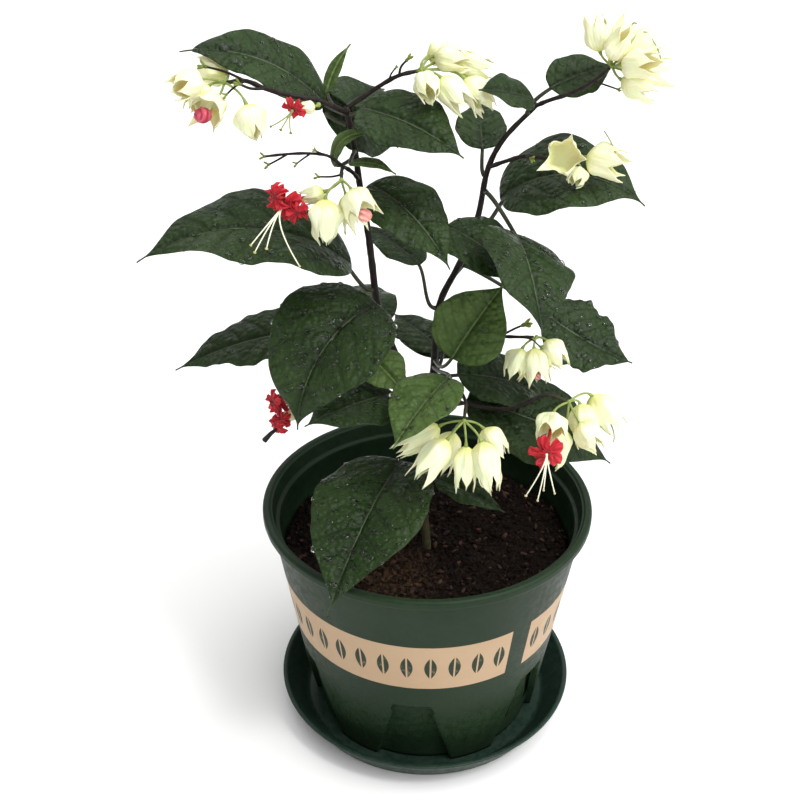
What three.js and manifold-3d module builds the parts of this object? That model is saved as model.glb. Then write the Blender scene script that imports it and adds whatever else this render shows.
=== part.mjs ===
// A bleeding heart vine (Clerodendrum thomsoniae) in a plastic nursery pot that stands in its saucer.
// Millimetres, +Z up.  The origin is the centre of the saucer's flat underside, and -Y is the front.
import * as THREE from 'three';
import { mergeVertices } from 'three/addons/utils/BufferGeometryUtils.js';
import Module from 'manifold-3d';

const wasm = await Module();
wasm.setup();

// ---------------------------------------------------------------- driving dimensions
const GAP = 0.3; // clearance between neighbouring pieces
const DEG = Math.PI / 180;
const SEGMENTS = 36; // round the pot and the saucer

const SAUCER_RIM = 93.7; // outer radius of the saucer's lip
const SAUCER_HEIGHT = 20.6;
const SAUCER_BASE = 80; // radius of the flat underside
const SAUCER_FLOOR = 3; // thickness of the saucer's floor
const SAUCER_WALL = 2;
const SAUCER_LIP = 1.6; // height of the bead round the saucer's rim
const SAUCER_BEAD = 1.8; // how far the bead stands out from the wall

const POT_RIM = 100; // outer radius of the pot's lip
const POT_TOP = 152.5; // height of the pot's rim above the surface
const LIP_HEIGHT = 5.5;
const POT_SHOULDER = 95.5; // radius of the pot's wall just under the lip
const POT_BASE = 72;
const POT_WALL = 2.4;
const POT_FLOOR = 2.4;
const LEDGE_RADIUS = 90; // the stacking ring inside the mouth
const LEDGE_DROP = 11;
const MOUTH_RADIUS = 94;

const RECESS_COUNT = 6; // arched recesses round the foot of the pot
const RECESS_TURN = -96.7; // bearing of the recess nearest the front, in degrees
const RECESS_DEPTH = 4;
const RECESS_FOOT = 48; // width at the foot
const RECESS_HEAD = 25; // width of the rounded head
const RECESS_TOP = 56.5; // height of the head above the surface
const SLIT_WIDTH = 8; // drain slits beside the recesses at the pot's sides
const SLIT_LOW = 20;
const SLIT_HIGH = 48;
const SLIT_EDGE = 0.8; // wall left between a slit and the side of its recess

const SOIL_LEVEL = 122;
const SOIL_BUMP = 1.6; // height of the soil's unevenness
const TRUNK_RADIUS = 2.7;
const TRUNK_FOOT = 95; // how deep the trunk reaches into the soil

const LEAF_THICK = 0.9;
const LARGE_LEAF_LENGTH = 80; // longer leaves have more cross-sections
const LARGE_LEAF_WIDTH = 55; // wider ones more points across
const LEAF_FOLD = 14; // each half rises from the midrib at this angle
const LEAF_ARCH = 0.2; // how far its margin bends down again, as a share of the half width
const LEAF_WAVE = 0.028; // height of the margin's waves as a share of the width
const PETIOLE_RADIUS = 1.1;
const PETAL_THICK = 0.8;
const PETAL_REFLEX = 0.2; // how far a corolla's lobes bend back, as a share of its radius
const PEDICEL_RADIUS = 0.75;
const HUB_RADIUS = 1.3; // the knob where a cyme's pedicels meet
const CALYX_BELLY = 0.36; // how far up a calyx is widest
const CALYX_KEEL = 1.04; // its keels and the valleys between them, as shares of its radius
const CALYX_VALLEY = 0.86;
const NOTCH_SHARE = 0.64; // how far up its lobes part
const THROAT_SHARE = 0.62; // how far up a calyx the hollow of its mouth reaches
const TUBE_RADIUS = 0.9; // a corolla's slim tube, in the calyx
const ROOT_RADIUS = 0.8; // where a flower's stamens leave its middle
const FILAMENT_RADIUS = 0.5;

const COLOURS = {
  pot: 0x2f4f40,
  soil: 0x35271c,
  stem: 0x3b3327,
  darkLeaf: 0x2c3b26,
  freshLeaf: 0x5b7440,
  calyx: 0xf2eecb,
  corolla: 0xc4203c,
  stamen: 0xe9e6c4,
};

// Stem centre lines, from the root up: the trunk and the two branches that it forks into.
const STEMS = {
  trunk: [[0, -10, TRUNK_FOOT], [0, -10, 110], [0, -10, 124], [-2, -5, 146], [-4, 0, 172], [-6, 4, 197]],
  left: [[-6, 4, 192], [-16, 8, 236], [-29, 8, 279], [-32, 6, 306], [-34, 4, 326], [-38, 2, 354],
    [-40, 1, 372], [-44, 0, 395]],
  right: [[-5, 3, 186], [3, 14, 233], [6, 18, 274], [17, 18, 300], [26, 17, 327], [31, 16, 357],
    [38, 14, 373], [55, 12, 393]],
};
const STEM_RADII = { trunk: [TRUNK_RADIUS, 2.4], left: [2.3, 1.5], right: [2.2, 1.3] };

// Leaves: name, stem and height of the node that bears it, foot of the blade [x, y, z],
// heading, pitch, length, width, droop and roll.  Angles are in degrees.  Droop is how far the
// blade bends down along its length, and roll turns it about its midrib.
const LEAVES = [
  ['top_left', 'left', 391, [-56, 17, 391], -167, 54, 77, 42, 56, -28],
  ['top_young', 'left', 393, [-54, 1, 402], 22, 75, 27, 7, 30, 60],
  ['top_back', 'left', 389, [-44, 10, 393], 62, 8, 40, 42, 22, 16],
  ['under_top', 'left', 385, [-57, 15, 388], 33, -22, 54, 46, 18, 38],
  ['top_right', 'left', 391, [-37, -5, 396], -31, 2, 62, 44, 32, 20],
  ['curl', 'left', 368, [-50, -8, 363], -10, 104, 32, 10, 118, 0],
  ['bract', 'left', 372, [-42, -15, 370], -22, 24, 26, 8, 56, 20],
  ['left_large', 'left', 290, [-43, -4, 309], -166, 46, 120, 71, 76, -12],
  ['upper_mid', 'left', 346, [-33, 3, 352], -44, -2, 67, 40, 50, 16],
  ['behind_mid', 'right', 272, [-5, 14, 301], 134, 20, 46, 28, 14, 0],
  ['right_arm', 'right', 312, [8, -3, 331], -29, -9, 55, 45, 38, 8],
  ['right_bend', 'right', 344, [45, -10, 329.5], -80, 0, 67, 57, 54, -26],
  ['right_large', 'right', 322, [38, 14, 340], -11, 46, 84, 64, 88, 20],
  ['heart', 'right', 352, [28, 22, 365], 91, 26, 43, 29, 10, 0],
  ['tip_left', 'right', 388, [51, -2, 400], -150, 26, 34, 25, 20, -30],
  ['tip_right', 'right', 390, [61, 13, 401], 26, 20, 40, 28, 20, 32],
  ['light', 'right', 240, [12, -22, 261], 21, 58, 49, 43, 10, 50],
  ['light_low', 'right', 236, [10, -30, 253], -123, -2, 57, 40, 28, 0],
  ['big_left', 'left', 262, [-29, -6, 286], -134, 6, 90, 70, 92, -17],
  ['low_left', 'left', 226, [-20, -21, 238], -141, 12, 60, 46, 20, -10],
  ['low_mid', 'left', 240, [-36, -10, 258], -43, -16, 33, 30, 20, 10],
  ['far_left', 'left', 244, [-59, 10, 262], -177, 0, 90, 44, 30, -14],
  ['rim', 'trunk', 172, [-16, -20, 192], -113, 0, 105, 68, 40, 0],
  ['low_small', 'trunk', 166, [5, -14, 175], -22, -6, 44, 26, 20, 0],
  ['low_right', 'right', 212, [22, -5, 224], -7, -8, 92, 66, 30, 20],
  ['right_droop', 'right', 300, [66, 11, 272], -17, -32, 56, 50, -14, 22],
  ['shade_a', 'right', 232, [10, 24, 240], 125, 10, 53, 36, 12, 0],
  ['shade_c', 'right', 232, [16, -8, 243], 10, -4, 56, 48, 32, 16],
  ['back_low', 'right', 218, [6, 30, 232], 82, 6, 84, 56, 40, 0],
  ['back_left', 'left', 246, [-30, 22, 258], 118, 16, 78, 50, 50, 0],
  ['back_right', 'right', 292, [22, 32, 296], 58, 4, 70, 46, 44, 0],
];
const FRESH_LEAVES = ['light', 'light_low', 'low_left', 'low_mid', 'top_young', 'bract'];

// Peduncles and twigs: the first point lies inside the branch that bears them.  Where `hub` is set,
// the last point is the place where a cyme's pedicels meet.
const TWIGS = [
  { path: [[-43, 0, 392], [-57, -12, 402], [-71, -16, 406], [-83, -15, 409], [-93, -12, 412],
    [-104, -8, 410]],
    radius: 1.3, hub: 'cyme_a' },
  { path: [[-93, -12, 412], [-103, -10, 416], [-113, -8, 418]], radius: 0.7, bud: 1.4 },
  { path: [[-83, -15, 409], [-90, -18, 410], [-95, -18, 412]], radius: 0.8, bud: 1.2 },
  { path: [[-57, -12, 402], [-57, -13, 401.5], [-57, -15.5, 401]], radius: 0.7, hub: 'cyme_b' },
  { path: [[-44, 1, 394], [-27, 3, 405], [-17, 1, 411], [-6, 0, 414]], radius: 1.2, hub: 'cyme_c' },
  { path: [[-17, 1, 411], [-16, 2, 415], [-13, 4, 418]], radius: 0.7, bud: 1.3 },
  { path: [[54, 12, 392], [60, 5, 397], [72, 0, 403], [81, -2, 409], [90, 0, 416]],
    radius: 1.1, hub: 'cyme_d' },
  { path: [[31, 16, 357], [39, 6, 364], [49, 0, 369], [61, -4, 369], [74, -4, 368]],
    radius: 1.1, hub: 'cyme_e' },
  { path: [[49, 0, 369], [50, -4, 370], [51, -7, 370]], radius: 0.7, bud: 1.3 },
  { path: [[-38, 2, 355], [-41, -8, 363], [-45, -14, 368], [-46, -21, 369], [-46, -27, 366]],
    radius: 1.1, hub: 'cyme_f' },
  { path: [[-45, -14, 368], [-53, -14, 374], [-62, -13, 375], [-74, -11, 374], [-86, -9, 372]],
    radius: 0.8, bud: 1.1 },
  { path: [[-74, -11, 374], [-79, -11, 371], [-84, -10, 368]], radius: 0.6, bud: 1.1 },
  { path: [[5, 16, 255], [15, 14, 254], [28, 4, 259], [39, -6, 266], [50, -12, 269], [59, -14, 270]],
    radius: 1, hub: 'cyme_g' },
  { path: [[39, -6, 266], [47, -8, 272], [52, -9, 275]], radius: 0.7, bud: 1.8 },
  { path: [[2, 13, 228], [8, -4, 240], [14, -28, 247], [19, -44, 246], [18, -52, 239]],
    radius: 1.1, hub: 'cyme_h' },
  { path: [[1, 11, 222], [10, 0, 224], [23, -20, 230], [44, -36, 237], [64, -38, 247], [76, -37, 242]],
    radius: 1.1, hub: 'cyme_i' },
  { path: [[-12, 6, 222], [-34, 8, 220], [-56, 5, 221], [-70, 1, 222]], radius: 0.9, hub: 'cyme_j' },
];

// Calyces of each cyme: foot [x, y, z], heading, pitch, length, radius and how far its mouth is
// open (0 closed to 1 spread).
const CYMES = {
  cyme_a: [
    [[-115, -13, 413], -133, -5, 17, 8, 0.2],
    [[-112, -7, 408], -130, -40, 16, 8, 0.2],
    [[-107, -12, 404], -119, -22, 15, 8, 1],
    [[-92, -23, 403.5], -54, -58, 17, 9, 0],
    [[-104, 1, 412], 150, 3, 16, 8, 0.3],
  ],
  cyme_b: [[[-58.5, -17.5, 401], -168, -5, 8, 3.5, 0.3]],
  cyme_c: [
    [[-5, -7, 414], -76, -28, 17, 7, 0.2],
    [[1, 7, 419], -18, -4, 18, 7.5, 0.2],
    [[4, -6, 412], -34, -42, 20, 7.5, 0.4],
    [[13, 14, 415], 12, -20, 18, 7, 0.2],
    [[16, -1, 410], -36, -38, 18, 7, 0.6],
    [[20, 10, 405], -10, -56, 17, 7, 0.4],
    [[-2, 14, 417], 32, 6, 15, 6.5, 0.2],
  ],
  cyme_d: [
    [[88, -3, 420], -20, 64, 18, 7, 0.3],
    [[91, 6, 421], 50, 42, 19, 7.5, 0.3],
    [[94, 1, 420], 20, 27, 21, 7.5, 0.5],
    [[94, -6, 418], -42, 12, 20, 7.5, 0.3],
    [[96, 0, 414], 6, -4, 24, 8, 0.5],
    [[94, -6, 411], -22, -16, 19, 7.5, 0.3],
    [[84, 4, 422], 124, 68, 18, 7, 0.4],
    [[96, 8, 415], 48, 4, 20, 7.5, 0.4],
  ],
  cyme_e: [
    [[70, -6, 371], -110, 18, 15, 8, 1],
    [[77, -7, 365], -119, -40, 10, 6, 0.1],
    [[80, -4, 370], -24, -6, 21, 9, 0.5],
  ],
  cyme_f: [
    [[-54, -32, 358], -96, -79, 22, 9, 0],
    [[-44, -26, 358], 10, -70, 20, 6.5, 0.7],
    [[-41, -33, 363.5], -50, -45, 16, 8, 0.8],
    [[-55, -22, 358], 172, -20, 13, 5, 0.3],
  ],
  cyme_g: [
    [[64, -16, 269], -42, -43, 17, 7.5, 0.3],
    [[57, -21, 267], -70, -66, 19, 7.5, 0.7],
    [[51, -18, 265], -130, -60, 17, 7.5, 0.3],
  ],
  cyme_h: [
    [[5, -46, 232], -172, -32, 27, 7.5, 0.3],
    [[9, -58, 231], -150, -48, 27, 8, 0.4],
    [[13, -44, 227], -160, -70, 25, 7, 0.4],
    [[19, -60, 228], -95, -76, 24, 7, 0.3],
    [[27, -60, 231], -56, -64, 27, 8.5, 0.1],
    [[29, -47, 231], -30, -48, 18, 8, 0.2],
  ],
  cyme_i: [
    [[67, -44, 239], -105, -36, 14, 9, 0.5],
    [[74, -41, 227], -140, -66, 22, 8, 0.2],
    [[83, -32, 238], -57, -64, 23, 8.5, 0.3],
    [[90, -27, 240], -10, -52, 24, 8.5, 0.3],
    [[82, -42, 232], -50, -36, 18, 8, 0.3],
  ],
  cyme_j: [
    [[-75, -4, 226], -160, 9, 11, 4, 0.3],
    [[-76, -4, 217], -150, -20, 11, 4, 0.3],
  ],
};

// Open corollas: the cyme and calyx that each grows from, centre of its star, heading and pitch of
// its face, and radius of its five lobes.
const COROLLAS = {
  corolla_b: { from: ['cyme_b', 0], centre: [-69, -22, 401], face: [-115, -25], radius: 6.5 },
  corolla_f: { from: ['cyme_f', 3], centre: [-75, -30, 353.5], face: [-115, -10], radius: 10.5 },
  corolla_i: { from: ['cyme_i', 0], centre: [62, -64, 226], face: [-95, 5], radius: 10 },
  corolla_j_upper: { from: ['cyme_j', 0], centre: [-89.5, -8.5, 225], face: [-140, 10], radius: 7.5 },
  corolla_j_lower: { from: ['cyme_j', 1], centre: [-88, -17, 213], face: [-125, 0], radius: 7.5 },
};

// Closed crimson buds: the cyme and calyx, and the bud's radius.
const BUDS = {
  bud_a: { from: ['cyme_a', 2], radius: 4.6 },
  bud_f: { from: ['cyme_f', 2], radius: 4 },
  bud_g: { from: ['cyme_g', 1], radius: 2.6 },
};

// Stamens: the corolla that they stand out of, and where their tips lie.
const STAMENS = {
  stamens_b: { from: 'corolla_b', tips: [[-75, -30, 393], [-70, -32, 392], [-80, -28, 394]] },
  stamens_f: {
    from: 'corolla_f',
    tips: [[-91, -49, 340], [-89, -51, 337], [-83, -51, 339], [-67, -50, 329]],
  },
  stamens_i: { from: 'corolla_i', tips: [[51, -75, 206], [60, -77, 211], [66, -77, 209], [57, -78, 205]] },
};

// ---------------------------------------------------------------- vectors
const vec = (p) => new THREE.Vector3(p[0], p[1], p[2]);
const along = (origin, direction, distance) => origin.clone().addScaledVector(direction, distance);

// The tangent, side and normal of something that points along heading and pitch and is rolled
// about that direction (degrees).
function frameOf(heading, pitch, roll) {
  const h = heading * DEG;
  const p = pitch * DEG;
  const tangent = new THREE.Vector3(Math.cos(p) * Math.cos(h), Math.cos(p) * Math.sin(h), Math.sin(p));
  const side = new THREE.Vector3(-Math.sin(h), Math.cos(h), 0);
  const normal = tangent.clone().cross(side);
  side.applyAxisAngle(tangent, roll * DEG);
  normal.applyAxisAngle(tangent, roll * DEG);
  return { tangent, side, normal };
}

// ---------------------------------------------------------------- solids
// A closed geometry as a solid that can be joined or cut.
function solidOf(geometry) {
  const bare = geometry.clone();
  bare.deleteAttribute('normal');
  bare.deleteAttribute('uv');
  const merged = mergeVertices(bare, 1e-3);
  const mesh = new wasm.Mesh({
    numProp: 3,
    vertProperties: new Float32Array(merged.attributes.position.array),
    triVerts: new Uint32Array(merged.index.array),
  });
  return new wasm.Manifold(mesh);
}

// A solid's faces as a geometry for its mesh.
function geometryOf(solid) {
  const mesh = solid.getMesh();
  const geometry = new THREE.BufferGeometry();
  geometry.setAttribute('position', new THREE.BufferAttribute(mesh.vertProperties, 3));
  geometry.setIndex(new THREE.BufferAttribute(mesh.triVerts, 1));
  return geometry;
}

const join = (solids) => solids.reduce((all, one) => all.add(one));

// A solid skinned over rings of points, each with the same count, and closed by a pole at each end.
function ringSolid(firstPole, rings, lastPole) {
  const count = rings[0].length;
  const points = [firstPole, ...rings.flat(), lastPole];
  const last = points.length - 1;
  const faces = [];
  for (let i = 0; i < count; i += 1) {
    const j = (i + 1) % count;
    faces.push(0, 1 + j, 1 + i);
    for (let r = 0; r + 1 < rings.length; r += 1) {
      const a = 1 + r * count;
      const b = a + count;
      faces.push(a + i, a + j, b + j, a + i, b + j, b + i);
    }
    const top = 1 + (rings.length - 1) * count;
    faces.push(top + i, top + j, last);
  }
  return pointSolid(points, faces);
}

// Points and faces as a solid, with the faces turned round if they all point inwards.
function pointSolid(points, faces) {
  const geometry = new THREE.BufferGeometry().setFromPoints(points);
  geometry.setIndex(faces);
  const solid = solidOf(geometry);
  if (solid.volume() > 0) return solid;
  geometry.setIndex(faces.toReversed());
  return solidOf(geometry);
}

// A thin closed plate from a grid of points and their normals, split alike on both faces.
function plate(points, normals, thickness) {
  const rows = points.length;
  const columns = points[0].length;
  const at = (face, i, j) => face * rows * columns + i * columns + j;
  const vertices = [];
  for (const offset of [thickness / 2, -thickness / 2]) {
    points.forEach((row, i) => row.forEach((p, j) => vertices.push(along(p, normals[i][j], offset))));
  }
  const faces = [];
  for (let i = 0; i + 1 < rows; i += 1) {
    for (let j = 0; j + 1 < columns; j += 1) {
      const corners = [[i, j], [i + 1, j], [i + 1, j + 1], [i, j + 1]];
      const [a, b, c, d] = corners.map(([m, n]) => at(0, m, n));
      const [e, f, g, h] = corners.map(([m, n]) => at(1, m, n));
      faces.push(a, b, c, a, c, d, e, g, f, e, h, g);
    }
  }
  const border = [];
  for (let i = 0; i < rows - 1; i += 1) border.push([i, 0]);
  for (let j = 0; j < columns - 1; j += 1) border.push([rows - 1, j]);
  for (let i = rows - 1; i > 0; i -= 1) border.push([i, columns - 1]);
  for (let j = columns - 1; j > 0; j -= 1) border.push([0, j]);
  border.forEach(([i, j], k) => {
    const [m, n] = border[(k + 1) % border.length];
    faces.push(at(0, i, j), at(1, i, j), at(1, m, n), at(0, i, j), at(1, m, n), at(0, m, n));
  });
  return pointSolid(vertices, faces);
}

// A round bar along a curve, whose radius changes evenly from one end to the other.
function bar(curve, steps, sides, startRadius, endRadius) {
  const outline = new THREE.Shape();
  for (let i = 0; i < sides; i += 1) {
    const angle = (i * 2 * Math.PI) / sides;
    if (i === 0) outline.moveTo(1, 0);
    else outline.lineTo(Math.cos(angle), Math.sin(angle));
  }
  outline.closePath();
  const geometry = new THREE.ExtrudeGeometry(outline, { steps, extrudePath: curve });
  const stations = curve.getSpacedPoints(steps);
  const positions = geometry.attributes.position;
  const p = new THREE.Vector3();
  for (let i = 0; i < positions.count; i += 1) {
    p.fromBufferAttribute(positions, i);
    const distances = stations.map((s) => Math.abs(s.distanceTo(p) - 1));
    const nearest = distances.indexOf(Math.min(...distances));
    const radius = startRadius + ((endRadius - startRadius) * nearest) / steps;
    p.sub(stations[nearest]).multiplyScalar(radius).add(stations[nearest]);
    positions.setXYZ(i, p.x, p.y, p.z);
  }
  return solidOf(geometry);
}

function ball(centre, radius, across, up) {
  const geometry = new THREE.SphereGeometry(radius, across, up);
  geometry.translate(centre.x, centre.y, centre.z);
  return solidOf(geometry);
}

// A profile of [radius, height] points, closed on itself or along the axis, turned about +Z.
function turned(profile, segments = SEGMENTS) {
  const points = profile.map(([r, z]) => new THREE.Vector2(r, z));
  points.push(points[0].clone());
  const geometry = new THREE.LatheGeometry(points, segments);
  geometry.rotateX(Math.PI / 2);
  return solidOf(geometry);
}

// ---------------------------------------------------------------- the saucer
// A shallow dish with a sloping wall and a bead round its rim.
function makeSaucer() {
  const wall = SAUCER_RIM - SAUCER_BEAD;
  const under = SAUCER_HEIGHT - SAUCER_LIP;
  return turned([
    [0, 0], [SAUCER_BASE, 0], [SAUCER_BASE + 2, 2], [wall, under], [SAUCER_RIM, under],
    [SAUCER_RIM, SAUCER_HEIGHT - 0.5], [SAUCER_RIM - 0.8, SAUCER_HEIGHT],
    [SAUCER_RIM - 2.6, SAUCER_HEIGHT], [wall - SAUCER_WALL, under],
    [SAUCER_BASE - 1, SAUCER_FLOOR + 1.5], [SAUCER_BASE - 3, SAUCER_FLOOR], [0, SAUCER_FLOOR],
  ]);
}

// ---------------------------------------------------------------- the pot
const POT_FOOT = SAUCER_FLOOR + GAP; // the pot stands here, on the saucer's floor
const SHOULDER_HEIGHT = POT_TOP - LIP_HEIGHT;

// Radius of the pot's outer wall at a height.
const potRadius = (z) =>
  POT_BASE + ((POT_SHOULDER - POT_BASE) * (z - POT_FOOT)) / (SHOULDER_HEIGHT - POT_FOOT);

// The solid cone inside the pot's outer wall, moved inwards by an inset.
function potCone(inset, bottom, top) {
  return turned([
    [0, bottom], [potRadius(bottom) - inset, bottom], [potRadius(top) - inset, top], [0, top],
  ]);
}

// The outline of an arched recess, enlarged all round, as a block that stands across the wall.
function archBlock(grow) {
  const foot = RECESS_FOOT / 2 + grow;
  const head = RECESS_HEAD / 2 + grow;
  const top = RECESS_TOP + grow;
  const shoulder = top - head * 0.8;
  const outline = new THREE.Shape();
  outline.moveTo(-foot, 0);
  outline.lineTo(foot, 0);
  outline.lineTo(head, shoulder);
  outline.quadraticCurveTo(head * 0.9, top, 0, top);
  outline.quadraticCurveTo(-head * 0.9, top, -head, shoulder);
  outline.closePath();
  const geometry = new THREE.ExtrudeGeometry(outline, {
    depth: 60, bevelEnabled: false, curveSegments: 2, steps: 1,
  });
  geometry.rotateX(Math.PI / 2);
  geometry.translate(0, 110, 0);
  return geometry;
}

// The six recesses, cut back from the wall by their depth.
function recesses(grow, inset) {
  const blocks = [];
  for (let i = 0; i < RECESS_COUNT; i += 1) {
    const block = archBlock(grow);
    const turn = RECESS_TURN - 90 + (i * 360) / RECESS_COUNT;
    block.rotateZ(turn * DEG);
    blocks.push(solidOf(block));
  }
  return join(blocks).subtract(potCone(RECESS_DEPTH + inset, -20, 80));
}

// Narrow upright slits through the wall on both sides of every recess but the front and back ones.
function slits() {
  const bars = [];
  const height = SLIT_HIGH - SLIT_LOW;
  const middle = (SLIT_HIGH + SLIT_LOW) / 2;
  const slope = (RECESS_FOOT - RECESS_HEAD) / 2 / (RECESS_TOP - RECESS_HEAD * 0.4);
  const out = RECESS_FOOT / 2 - slope * middle - SLIT_WIDTH / 2 - SLIT_EDGE;
  for (let i = 0; i < RECESS_COUNT; i += 1) {
    if (i % (RECESS_COUNT / 2) === 0) continue;
    for (const sign of [-1, 1]) {
      const slit = new THREE.BoxGeometry(SLIT_WIDTH, 14, height);
      slit.rotateY(sign * -Math.atan(slope));
      slit.translate(sign * out, potRadius(middle) - RECESS_DEPTH, middle);
      slit.rotateZ((RECESS_TURN - 90 + (i * 360) / RECESS_COUNT) * DEG);
      bars.push(solidOf(slit));
    }
  }
  return join(bars);
}

// The room inside the pot, with a stacking ring below its mouth.
function potCavity(clearance) {
  const wall = POT_WALL + clearance;
  const floor = POT_FOOT + POT_FLOOR + clearance;
  const ledge = POT_TOP - LEDGE_DROP;
  return turned([
    [0, floor], [potRadius(floor) - wall, floor], [potRadius(ledge - 7) - wall, ledge - 7],
    [LEDGE_RADIUS - clearance, ledge - 5], [LEDGE_RADIUS - clearance, ledge],
    [MOUTH_RADIUS - 1.5 - clearance, ledge + 0.8], [MOUTH_RADIUS - clearance, POT_TOP + 1],
    [0, POT_TOP + 1],
  ]);
}

// The pot: an outer skin with recesses, a cavity that bulges in behind them, and the slits.
function makePot() {
  const outside = turned([
    [0, POT_FOOT], [POT_BASE, POT_FOOT], [POT_SHOULDER, SHOULDER_HEIGHT],
    [POT_RIM - 0.8, SHOULDER_HEIGHT], [POT_RIM, SHOULDER_HEIGHT + 0.8],
    [POT_RIM, POT_TOP - 1.2], [POT_RIM - 1.2, POT_TOP], [0, POT_TOP],
  ]);
  const inside = potCavity(0).subtract(recesses(POT_WALL, POT_WALL));
  return outside.subtract(recesses(0, 0)).subtract(inside).subtract(slits());
}

// ---------------------------------------------------------------- the soil
// The potting mix: an uneven top, sides that fill the pot, and a plain hole for the trunk.
function makeSoil() {
  const rings = [0.55, 1];
  const radius = LEDGE_RADIUS - 1;
  const around = SEGMENTS / 2;
  const surface = rings.map((share) => Array.from({ length: around }, (_, i) => {
    const angle = (i * 2 * Math.PI) / around;
    const x = radius * share * Math.cos(angle);
    const y = radius * share * Math.sin(angle);
    const bump = Math.sin(x * 0.13 + 1) * Math.cos(y * 0.11) + 0.6 * Math.sin(x * 0.31 + y * 0.27);
    return new THREE.Vector3(x, y, SOIL_LEVEL + SOIL_BUMP * bump * 0.6);
  }));
  const foot = surface[surface.length - 1].map((p) => new THREE.Vector3(p.x, p.y, 0));
  const top = new THREE.Vector3(0, 0, SOIL_LEVEL);
  const heap = ringSolid(top, [...surface, foot], new THREE.Vector3());
  const depth = 60;
  const hole = new THREE.CylinderGeometry(TRUNK_RADIUS + 2 * GAP, TRUNK_RADIUS + 2 * GAP, depth, 10);
  hole.rotateX(Math.PI / 2);
  hole.translate(STEMS.trunk[0][0], STEMS.trunk[0][1], TRUNK_FOOT - GAP + depth / 2);
  return heap
    .intersect(potCavity(GAP))
    .subtract(recesses(POT_WALL + GAP, POT_WALL + GAP))
    .subtract(solidOf(hole));
}

// ---------------------------------------------------------------- the stem
const stemCurve = (name) => new THREE.CatmullRomCurve3(STEMS[name].map(vec));

// The point of a branch at a height, its direction there and its radius.
function stemStation(name, height) {
  const curve = stemCurve(name);
  let low = 0;
  let high = 1;
  for (let i = 0; i < 30; i += 1) {
    const middle = (low + high) / 2;
    if (curve.getPoint(middle).z < height) low = middle;
    else high = middle;
  }
  const [startRadius, endRadius] = STEM_RADII[name];
  return {
    point: curve.getPoint(low),
    direction: curve.getTangent(low),
    radius: startRadius + (endRadius - startRadius) * low,
  };
}

// A peduncle that carries a cyme stops a clearance short of the cyme's knob.
function twigPath(twig) {
  const points = twig.path.map(vec);
  if (twig.hub) {
    const last = points.length - 1;
    const back = points[last - 1].clone().sub(points[last]).normalize();
    points[last] = along(points[last], back, HUB_RADIUS + 2 * GAP);
  }
  return points;
}

// The trunk, its two branches, the peduncles and their twigs with small green buds: one body.
function makeStem() {
  const pieces = Object.keys(STEMS).map((name) => {
    const [startRadius, endRadius] = STEM_RADII[name];
    return bar(stemCurve(name), Math.round(STEMS[name].length * 1.3), 6, startRadius, endRadius);
  });
  for (const twig of TWIGS) {
    const points = twigPath(twig);
    const curve = new THREE.CatmullRomCurve3(points);
    pieces.push(bar(curve, points.length - 1, 4, twig.radius, twig.radius * 0.8));
    if (twig.bud) pieces.push(ball(points[points.length - 1], twig.bud, 5, 3));
  }
  return join(pieces);
}

// ---------------------------------------------------------------- the leaves
// Half width of a blade as a share of its greatest half width: a rounded foot, a drawn-out tip.
const bladeWidth = (t) => Math.max(Math.sin(Math.PI * t ** 0.74), 0) ** (0.62 + 0.75 * t * t);

function leafShape([name, stem, node, foot, heading, pitch, length, width, droop, roll]) {
  return { name, stem, node, foot: vec(foot), heading, pitch, length, width, droop, roll };
}

// A point on the midrib, which bends evenly downwards by the leaf's droop.
function midrib(leaf, t) {
  const start = leaf.pitch * DEG;
  const bend = leaf.droop * DEG;
  const run = (leaf.length * (Math.sin(start) - Math.sin(start - bend * t))) / bend;
  const rise = (leaf.length * (Math.cos(start - bend * t) - Math.cos(start))) / bend;
  const h = leaf.heading * DEG;
  return leaf.foot.clone().add(new THREE.Vector3(run * Math.cos(h), run * Math.sin(h), rise));
}

// Height of the blade over its midrib's plane: a fold along the midrib, and a waved margin.
function bladeLift(leaf, t, across, halfWidth) {
  const side = across < 0 ? 0 : 1.3;
  const phase = leaf.length * 0.37;
  const fade = Math.min(1, 4 * t) * Math.min(1, 5 * (1 - t));
  const swing = Math.sin(5.2 * Math.PI * t + phase + side) * fade;
  const wave = LEAF_WAVE * leaf.width * across ** 2 * swing;
  const fold = Math.abs(across) * halfWidth * Math.sin(LEAF_FOLD * DEG);
  return fold - LEAF_ARCH * halfWidth * across ** 2 + wave;
}

// A point of the blade and its normal, at a share of its length and of its half width.
function bladePoint(leaf, t, across) {
  const { side, normal } = frameOf(leaf.heading, leaf.pitch - leaf.droop * t, leaf.roll);
  const halfWidth = Math.max((bladeWidth(t) * leaf.width) / 2, 0.8);
  const lateral = across * halfWidth * Math.cos(LEAF_FOLD * DEG);
  const step = 0.1;
  const [low, high] = [across - step, across + step].map((v) => bladeLift(leaf, t, v, halfWidth));
  const slope = (high - low) / (2 * step * halfWidth * Math.cos(LEAF_FOLD * DEG));
  const point = along(midrib(leaf, t), side, lateral);
  point.addScaledVector(normal, bladeLift(leaf, t, across, halfWidth));
  return { point, normal: along(normal, side, -slope).normalize() };
}

// Where a blade's cross-sections lie along its length: more of them on a large leaf.
const LARGE_STATIONS = [0, 0.05, 0.16, 0.31, 0.47, 0.63, 0.79, 0.92, 1];
const SMALL_STATIONS = [0, 0.06, 0.22, 0.45, 0.68, 0.87, 1];

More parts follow.
